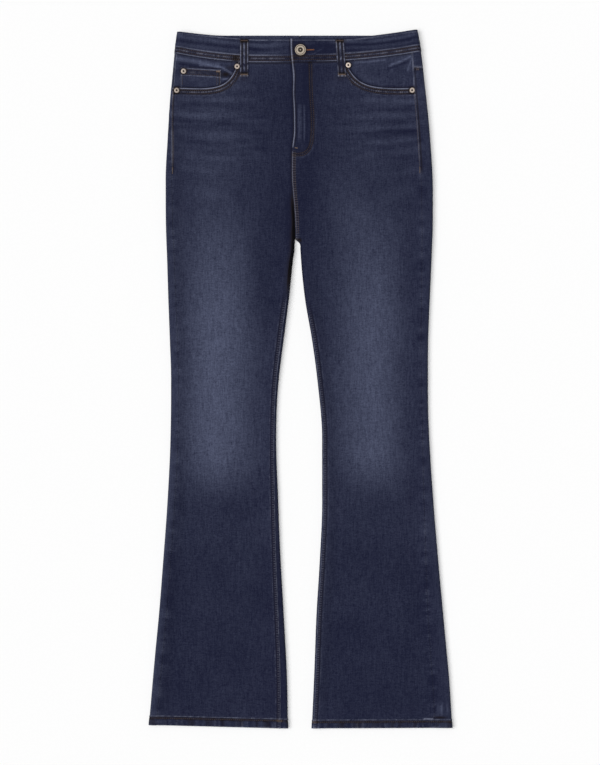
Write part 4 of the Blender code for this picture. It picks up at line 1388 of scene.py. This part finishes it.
def back_pocket(half):
    """Patch pocket on the seat, hidden under the jeans: turned and double stitched all round."""
    u, v = np.meshgrid(np.linspace(0, 1, 60), np.linspace(0, 1, 64))
    top = 436.0 + 10.0 * u
    left, right = 46.0 - 10.0 * v, 170.0 + 6.0 * v
    foot = np.where(u < 0.5, 314.0 - 40.0 * u, 294.0 + 48.0 * (u - 0.5))
    x = left + (right - left) * u
    y = foot + (top - foot) * v
    side = np.minimum(np.minimum(x - left, right - x), y - foot)
    hem = top - y
    if half.side == "right":
        x, y, side, hem = -x[:, ::-1], y[:, ::-1], side[:, ::-1], hem[:, ::-1]
    m = Marks(x)
    m.wash += 0.20 + 0.22 * line(np.abs(x), 108.0, 46.0) * line(y, 370.0, 50.0)
    m.wash += 0.05 * uneven(x, y, 20.0, 95)
    m.wear += line(side, 0.6, 1.1) * 0.55 + line(hem, 0.6, 1.1) * 0.6 + line(hem, 15.0, 0.9) * 0.2
    m.dark += band(side, 1.6, 7.8, 1.2) * 0.5 + band(hem, 10.0, 14.6, 1.2) * 0.4
    return flat_piece("seat_pocket_" + half.side, x, y, m, 1.1)


def back_loop(name, x_mid):
    u, v = np.meshgrid(np.linspace(-0.5, 0.5, 11), np.linspace(0, 1, 32))
    across, up = np.abs(u) * LOOP_WIDTH, BACK_LOOP_LENGTH * v
    ends = np.minimum(up, BACK_LOOP_LENGTH - up)
    m = Marks(u)
    m.wash += 0.2
    m.wear += line(across, 5.9, 0.9) * 0.6 + line(ends, 0.8, 0.9) * 0.6
    m.dark += band(across, 2.4, 4.6, 0.9) * 0.7 + band(ends, 2.5, 6.0, 1.0) * 0.8
    return flat_piece("belt_loop_back_" + name, x_mid + LOOP_WIDTH * u, BACK_LOOP_FOOT + up, m, LOOP_WALL)


# ---------------------------------------------------------------- stitching

class Sewing:
    """Gathers stitches as small beads of thread, so that one thread is one joined mesh."""

    def __init__(self):
        self.verts, self.faces = [], []

    def stitch(self, middle, along, up, length, thick):
        across = np.cross(up, along)
        start = len(self.verts)
        self.verts.append(middle - along * length / 2 - up * thick * 0.3)
        for k in (-0.3, 0.3):
            for a, b in ((1, 0), (0, 1), (-1, 0), (0, -1)):
                self.verts.append(middle + along * length * k + (across * a + up * b) * thick / 2)
        self.verts.append(middle + along * length / 2 - up * thick * 0.3)
        for k in range(4):
            n = (k + 1) % 4
            self.faces.append((start, start + 1 + n, start + 1 + k))
            self.faces.append((start + 1 + k, start + 1 + n, start + 5 + n, start + 5 + k))
            self.faces.append((start + 9, start + 5 + k, start + 5 + n))

    def run(self, points, pitch=3.1, length=2.5, thick=0.75):
        """A row of stitches along points, which lie on the cloth's face."""
        step = np.linalg.norm(np.diff(points, axis=0), axis=1)
        total = np.concatenate(([0.0], np.cumsum(step)))
        for k in range(int(total[-1] / pitch)):
            s = (k + 0.5) * pitch
            at = (s - 0.6, s, s + 0.6)
            behind, middle, ahead = np.stack([np.interp(at, total, part) for part in points.T], -1)
            along = ahead - behind
            along = along / max(np.linalg.norm(along), 1e-6)
            facing_up = np.array([0.0, 0.0, 1.0 if middle[2] > 2.4 else -1.0])
            up = facing_up - along * facing_up.dot(along)
            self.stitch(middle, along, up / np.linalg.norm(up), length, thick)

    def bartack(self, a, b, width, count, thick=0.7):
        """Close zigzag from a to b, points on the cloth's face."""
        along = (b - a) / np.linalg.norm(b - a)
        across = np.cross((0.0, 0.0, 1.0), along)
        for k in range(count):
            middle = a + (b - a) * (k + 0.5) / count
            lean = across + along * (0.18 if k % 2 else -0.18)
            self.stitch(middle, lean / np.linalg.norm(lean), np.array([0.0, 0.0, 1.0]), width, thick)

    def finish(self, name, material):
        build(name, np.array(self.verts), self.faces, material)


def on_face(half, path, marks, outer=0.0, lift=0.12):
    """A world path laid on a panel's finished face."""
    w, y = half.sign * path[:, 0], path[:, 1]
    plain = half.ring(w, y, outer)
    height = marks(half, plain[:, 0], plain[:, 1], plain[:, 2]).height
    return half.ring(w, y, outer - height - lift)


def trim(path, low, high):
    """The part of a path between two distances along it, resampled every 2 mm."""
    run = np.concatenate(([0.0], np.cumsum(np.hypot(*np.diff(path, axis=0).T))))
    at = np.arange(low, min(high, run[-1]), 2.0)
    return np.stack([np.interp(at, run, path[:, 0]), np.interp(at, run, path[:, 1])], -1)


STITCH_ROWS = (
    # seam, aside, from, to, marks, depth, pitch, length, thick
    ("waist", 3.3, 2.0, 400.0, band_marks, -BAND_PROUD, 3.1, 2.5, 0.75),
    ("waist", 8.5, 2.0, 400.0, band_marks, -BAND_PROUD, 3.1, 2.5, 0.75),
    ("pocket", -3.3, 6.0, 128.0, front_marks, 0.0, 3.1, 2.5, 0.75),
    ("pocket", -9.0, 6.0, 128.0, front_marks, 0.0, 3.1, 2.5, 0.75),
    ("hem", -3.6, 4.0, 400.0, front_marks, 0.0, 3.3, 2.7, 0.8),
    ("out", 1.6, 875.0, 1004.0, front_marks, 0.0, 3.1, 2.5, 0.75),
)


def sew():
    brown, tack, rust = Sewing(), Sewing(), Sewing()
    for half in (RIGHT, LEFT):
        for seam, aside, start, end, marks, depth, pitch, length, thick in STITCH_ROWS:
            path = trim(offset(SEAMS[half.side][seam], half.sign * aside), start, end)
            brown.run(on_face(half, path, marks, depth), pitch, length, thick)
        # the last row, up the outseam, starts from a bartack
        foot = on_face(half, path[0] + np.array([(0.0, 0.0), (0.0, 10.0)]), front_marks)
        tack.bartack(foot[0], foot[1], 1.8, 11)
    # the fly's J and its edge
    for aside in (0.0, -3.9):
        brown.run(on_face(LEFT, trim(offset(FLY_J, aside), 1.0, 400.0), front_marks), 3.1, 2.4, 0.75)
    for aside in (-2.0, -5.2):
        brown.run(on_face(LEFT, trim(offset(FLY_EDGE, aside), 10.0, 136.0), front_marks))
    # thread ends doubled over the hems by the inseams, on the pocket's corner and at the foot of the J
    for half, start, end in ((RIGHT, (-38.0, -536.6), (-26.5, -538.0)),
                             (LEFT, (19.5, -539.4), (26.5, -539.4))):
        for up in (0.0, -1.6):
            ends = np.array([start, end]) + (0.0, up)
            tack.run(on_face(half, trim(ends, 0.0, 12.0), front_marks, 0.0, 0.3), 2.4, 2.2, 0.9)
    for up in (-2.4, -5.0):
        path = np.array([(x, YOKE_SIDE + up) for x in (181.8, 184.0, 186.0, 188.5)])
        tack.run(on_face(LEFT, path, back_marks, 0.0, 0.2), 2.4, 2.2, 1.0)
    curl = on_face(LEFT, np.array([(-9.0, 364.6), (-4.6, 363.8)]), front_marks)
    tack.bartack(curl[0], curl[1], 2.2, 8)
    # buttonhole, with its thread showing past the button
    hole = on_face(LEFT, np.array([(9.4, 518.6), (21.5, 518.9)]), band_marks, -BAND_PROUD)
    rust.bartack(hole[0], hole[1], 2.6, 16)
    # coin pocket
    t = np.linspace(0, 1, 30)
    rows = [np.stack([-128.0 - 58.0 * t, COIN_TOP + COIN_RISE * t - drop], -1) for drop in (2.2, 9.6)]
    rows += [np.stack([x + 0 * t, 485.0 - 23.0 * t], -1) for x in (-127.6, -132.0, -186.2)]
    for path in rows:
        brown.run(on_face(RIGHT, path, coin_marks, COIN_DEPTH))
    corner = on_face(RIGHT, np.array([(-126.6, 484.6), (-133.0, 484.9)]), coin_marks, COIN_DEPTH)
    tack.bartack(corner[0], corner[1], 3.8, 9, 1.0)
    # belt loops, tacked at the foot and stitched at the top
    for half in (RIGHT, LEFT):
        for v, thread in ((0.055, tack), (0.945, brown)):
            w, y, depth = loop_place(half, np.array([0.08, 0.92]), np.array([v, v]))
            ends = half.ring(w, y, depth - 0.4)
            thread.bartack(ends[0], ends[1], 2.2, 18)
    # the hidden side: yoke, seat seam, seat pockets and loops
    for half in (RIGHT, LEFT):
        xs = np.linspace(4.0, half.crest(480.0) - 4.0, 60)
        for up in (2.4, 7.4):
            line_y = yoke_world(half, half.sign * xs) + up
            brown.run(np.stack([half.sign * xs, line_y, rest(line_y) - 0.15], -1))
        ys = np.linspace(CROTCH + 6.0, YOKE_MIDDLE - 4.0, 60)
        for aside in (2.2, 6.4) if half.side == "left" else ():
            brown.run(np.stack([half.centre_back(ys) + aside, ys, rest(ys) - 0.15], -1))
        for inset in (2.4, 7.4):
            corners = [(36 + inset, 434), (46 + inset, 314 + inset), (108, 294 + inset * 1.1),
                       (170 - inset, 318 + inset), (176 - inset, 444)]
            path = np.array([(half.sign * a, b, -0.1) for a, b in corners])
            for a, b in zip(path[:-1], path[1:]):
                brown.run(a + (b - a) * np.linspace(0, 1, 12)[:, None])
    for _, x in BACK_LOOPS:
        for aside in (-3.4, 3.4):
            brown.run(np.array([(x + aside, y, -0.1) for y in (484.0, 510.0, 536.0)]))
    brown.finish("topstitching", TOBACCO)
    tack.finish("bartacks_and_corners", TACK)
    rust.finish("buttonhole_stitching", RUST)


# ---------------------------------------------------------------- metal

def select_faces(ob, wanted):
    """In edit mode, selects the faces whose centre and normal pass a test."""
    bm = bmesh.from_edit_mesh(ob.data)
    for face in bm.faces:
        face.select = wanted(face.calc_center_median(), face.normal)
    bmesh.update_edit_mesh(ob.data)


def struck_disc(name, radius, depth, place, rings, dark, finish, segments):
    """A round pressed piece: a disc, inset and pushed up or down ring by ring. dark numbers the rings
    that stay antiqued dark."""
    bpy.ops.object.select_all(action="DESELECT")
    bpy.ops.mesh.primitive_cylinder_add(vertices=segments, radius=radius * 0.001, depth=depth * 0.001)
    ob = bpy.context.object
    ob.name = name
    ob.data.materials.append(finish)
    ob.data.materials.append(ANTIQUED)
    bpy.ops.object.mode_set(mode="EDIT")
    bpy.ops.mesh.select_mode(type="FACE")
    top = depth * 0.0005
    select_faces(ob, lambda middle, normal: normal.z > 0.9 and middle.z > top * 0.9)
    for k, (inset, push) in enumerate(rings):
        bpy.ops.mesh.inset(thickness=inset * 0.001)
        bpy.ops.mesh.extrude_region_move(TRANSFORM_OT_translate={"value": (0, 0, push * 0.001)})
        ob.active_material_index = 1 if k in dark else 0
        bpy.ops.object.material_slot_assign()
    bpy.ops.object.mode_set(mode="OBJECT")
    bevel = ob.modifiers.new("edges", "BEVEL")
    bevel.width = 0.00016
    bevel.segments = 2
    bevel.limit_method = "ANGLE"
    bevel.angle_limit = math.radians(35)
    bpy.ops.object.modifier_apply(modifier="edges")
    ob.rotation_euler = place[1]
    ob.location = place[0]
    bpy.ops.object.transform_apply(location=True, rotation=True, scale=True)
    bpy.ops.object.shade_smooth_by_angle(angle=math.radians(40))
    ob.select_set(False)
    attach(ob, "root")
    return ob


def seat(half, x, y, lift):
    """Place and tilt of a metal piece on the cloth at x, y."""
    foot = half.ring(x * half.sign, y, 0.0).reshape(3)
    tip = half.ring(x * half.sign, y, -1.0).reshape(3)
    up = (tip - foot) / np.linalg.norm(tip - foot)
    place = (foot + up * lift) * 0.001
    return tuple(place), (0.0, math.atan2(up[0], up[2]), 0.0)


# How a rivet's and the button's faces are struck: how far each ring steps in, and then up
RIVET_RINGS = ((0.5, 0.45), (2.0, -0.5), (0.6, 0.1))
BUTTON_RINGS = ((0.3, 0.7), (1.0, -0.6), (0.7, 0.5), (2.9, -0.9), (0.5, 0.2), (2.2, 0.5))


def metalwork():
    for name, half, x, y, lift in RIVETS:
        # two rivets take the paler copy of the metal, a painted highlight
        finish = LIT_RIVET_METAL if name in ("coin", "left_inner") else METAL
        place = seat(half, x, y, lift)
        rivet = struck_disc("cap_rivet_" + name, 4.1, 0.9, place, RIVET_RINGS, (1, 2), finish, 28)
        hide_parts("rivet_" + name)
    button = struck_disc("shank_button", 8.7, 1.6, seat(LEFT, *BUTTON_AT, BAND_PROUD + 1.3), BUTTON_RINGS,
                         (1, 3, 4), BUTTON_METAL, 48)
    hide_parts("button")


# ---------------------------------------------------------------- the jeans

def sheet(piece, node):
    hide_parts(node)


def main():
    for half in (RIGHT, LEFT):
        side = half.side
        sheet(front(half), "front_" + side)
        sheet(back(half), "back_" + side)
        sheet(yoke(half), "yoke_" + side)
        sheet(waistband(half), "waistband_" + side)
        sheet(facing(half), "facing_" + side)
        sheet(front_loop(half), "loop_front_" + side)
        sheet(back_pocket(half), "back_pocket_" + side)
    sheet(coin_pocket(RIGHT), "coin_pocket")
    for name, x in BACK_LOOPS:
        sheet(back_loop(name, x), "loop_back_" + name)
    sew()
    metalwork()
    tape = bpy.data.objects["fly_zip"]
    for slot in tape.material_slots:
        slot.material = TAPE


CAMERA_HEIGHT = 6.0
FRAME_HEIGHT = 1.2049      # of floor that the frame takes in, at the cloth's top


def studio():
    """Pale floor, soft light from the wearer's right, and a long lens straight above."""
    bpy.ops.object.select_all(action="DESELECT")
    bpy.ops.mesh.primitive_plane_add(size=12.0, location=(0, 0, -0.0008))
    floor = bpy.context.object
    floor.name = "floor"
    mat, tree, shader = blank("matt_white_board")
    place = add(tree, "TexCoord").outputs["Object"]
    tooth = threads(tree, place, 4.0, 4.0, 2.0)
    pale = add(tree, "MixRGB", {}, {"Fac": tooth, "Color1": linear("#fafafa"), "Color2": linear("#fdfdfd")})
    tree.links.new(pale.outputs[0], shader.inputs["Base Color"])
    shader.inputs["Roughness"].default_value = 0.95
    shader.inputs["Specular IOR Level"].default_value = 0.0
    floor.data.materials.append(mat)

    world = bpy.data.worlds.new("soft_white")
    bpy.context.scene.world = world
    world.use_nodes = True
    world.node_tree.nodes["Background"].inputs["Color"].default_value = (1.0, 1.0, 1.0, 1.0)
    world.node_tree.nodes["Background"].inputs["Strength"].default_value = 0.14

    # a broad box low on the wearer's right throws a soft shadow to the left; one straight above fills it
    for name, power, spread, tilt in (("side_box", 1.62, 44, -30), ("overhead_box", 1.36, 8, 0)):
        data = bpy.data.lights.new(name, "SUN")
        data.energy = power
        data.angle = math.radians(spread)
        lamp = bpy.data.objects.new(name, data)
        bpy.context.scene.collection.objects.link(lamp)
        lamp.location = (math.tan(math.radians(tilt)) * 3.0, 0.0, 3.0)
        lamp.rotation_euler = (0.0, math.radians(tilt), 0.0)

    data = bpy.data.cameras.new("overhead")
    camera = bpy.data.objects.new("overhead", data)
    bpy.context.scene.collection.objects.link(camera)
    camera.location = (-0.0009, -0.0052, CAMERA_HEIGHT)
    data.sensor_fit = "VERTICAL"
    data.sensor_height = 24.0
    data.lens = data.sensor_height * (CAMERA_HEIGHT - 0.006) / FRAME_HEIGHT
    data.clip_end = 30.0
    bpy.context.scene.camera = camera
    bpy.context.scene.view_settings.view_transform = "Standard"


studio()
main()
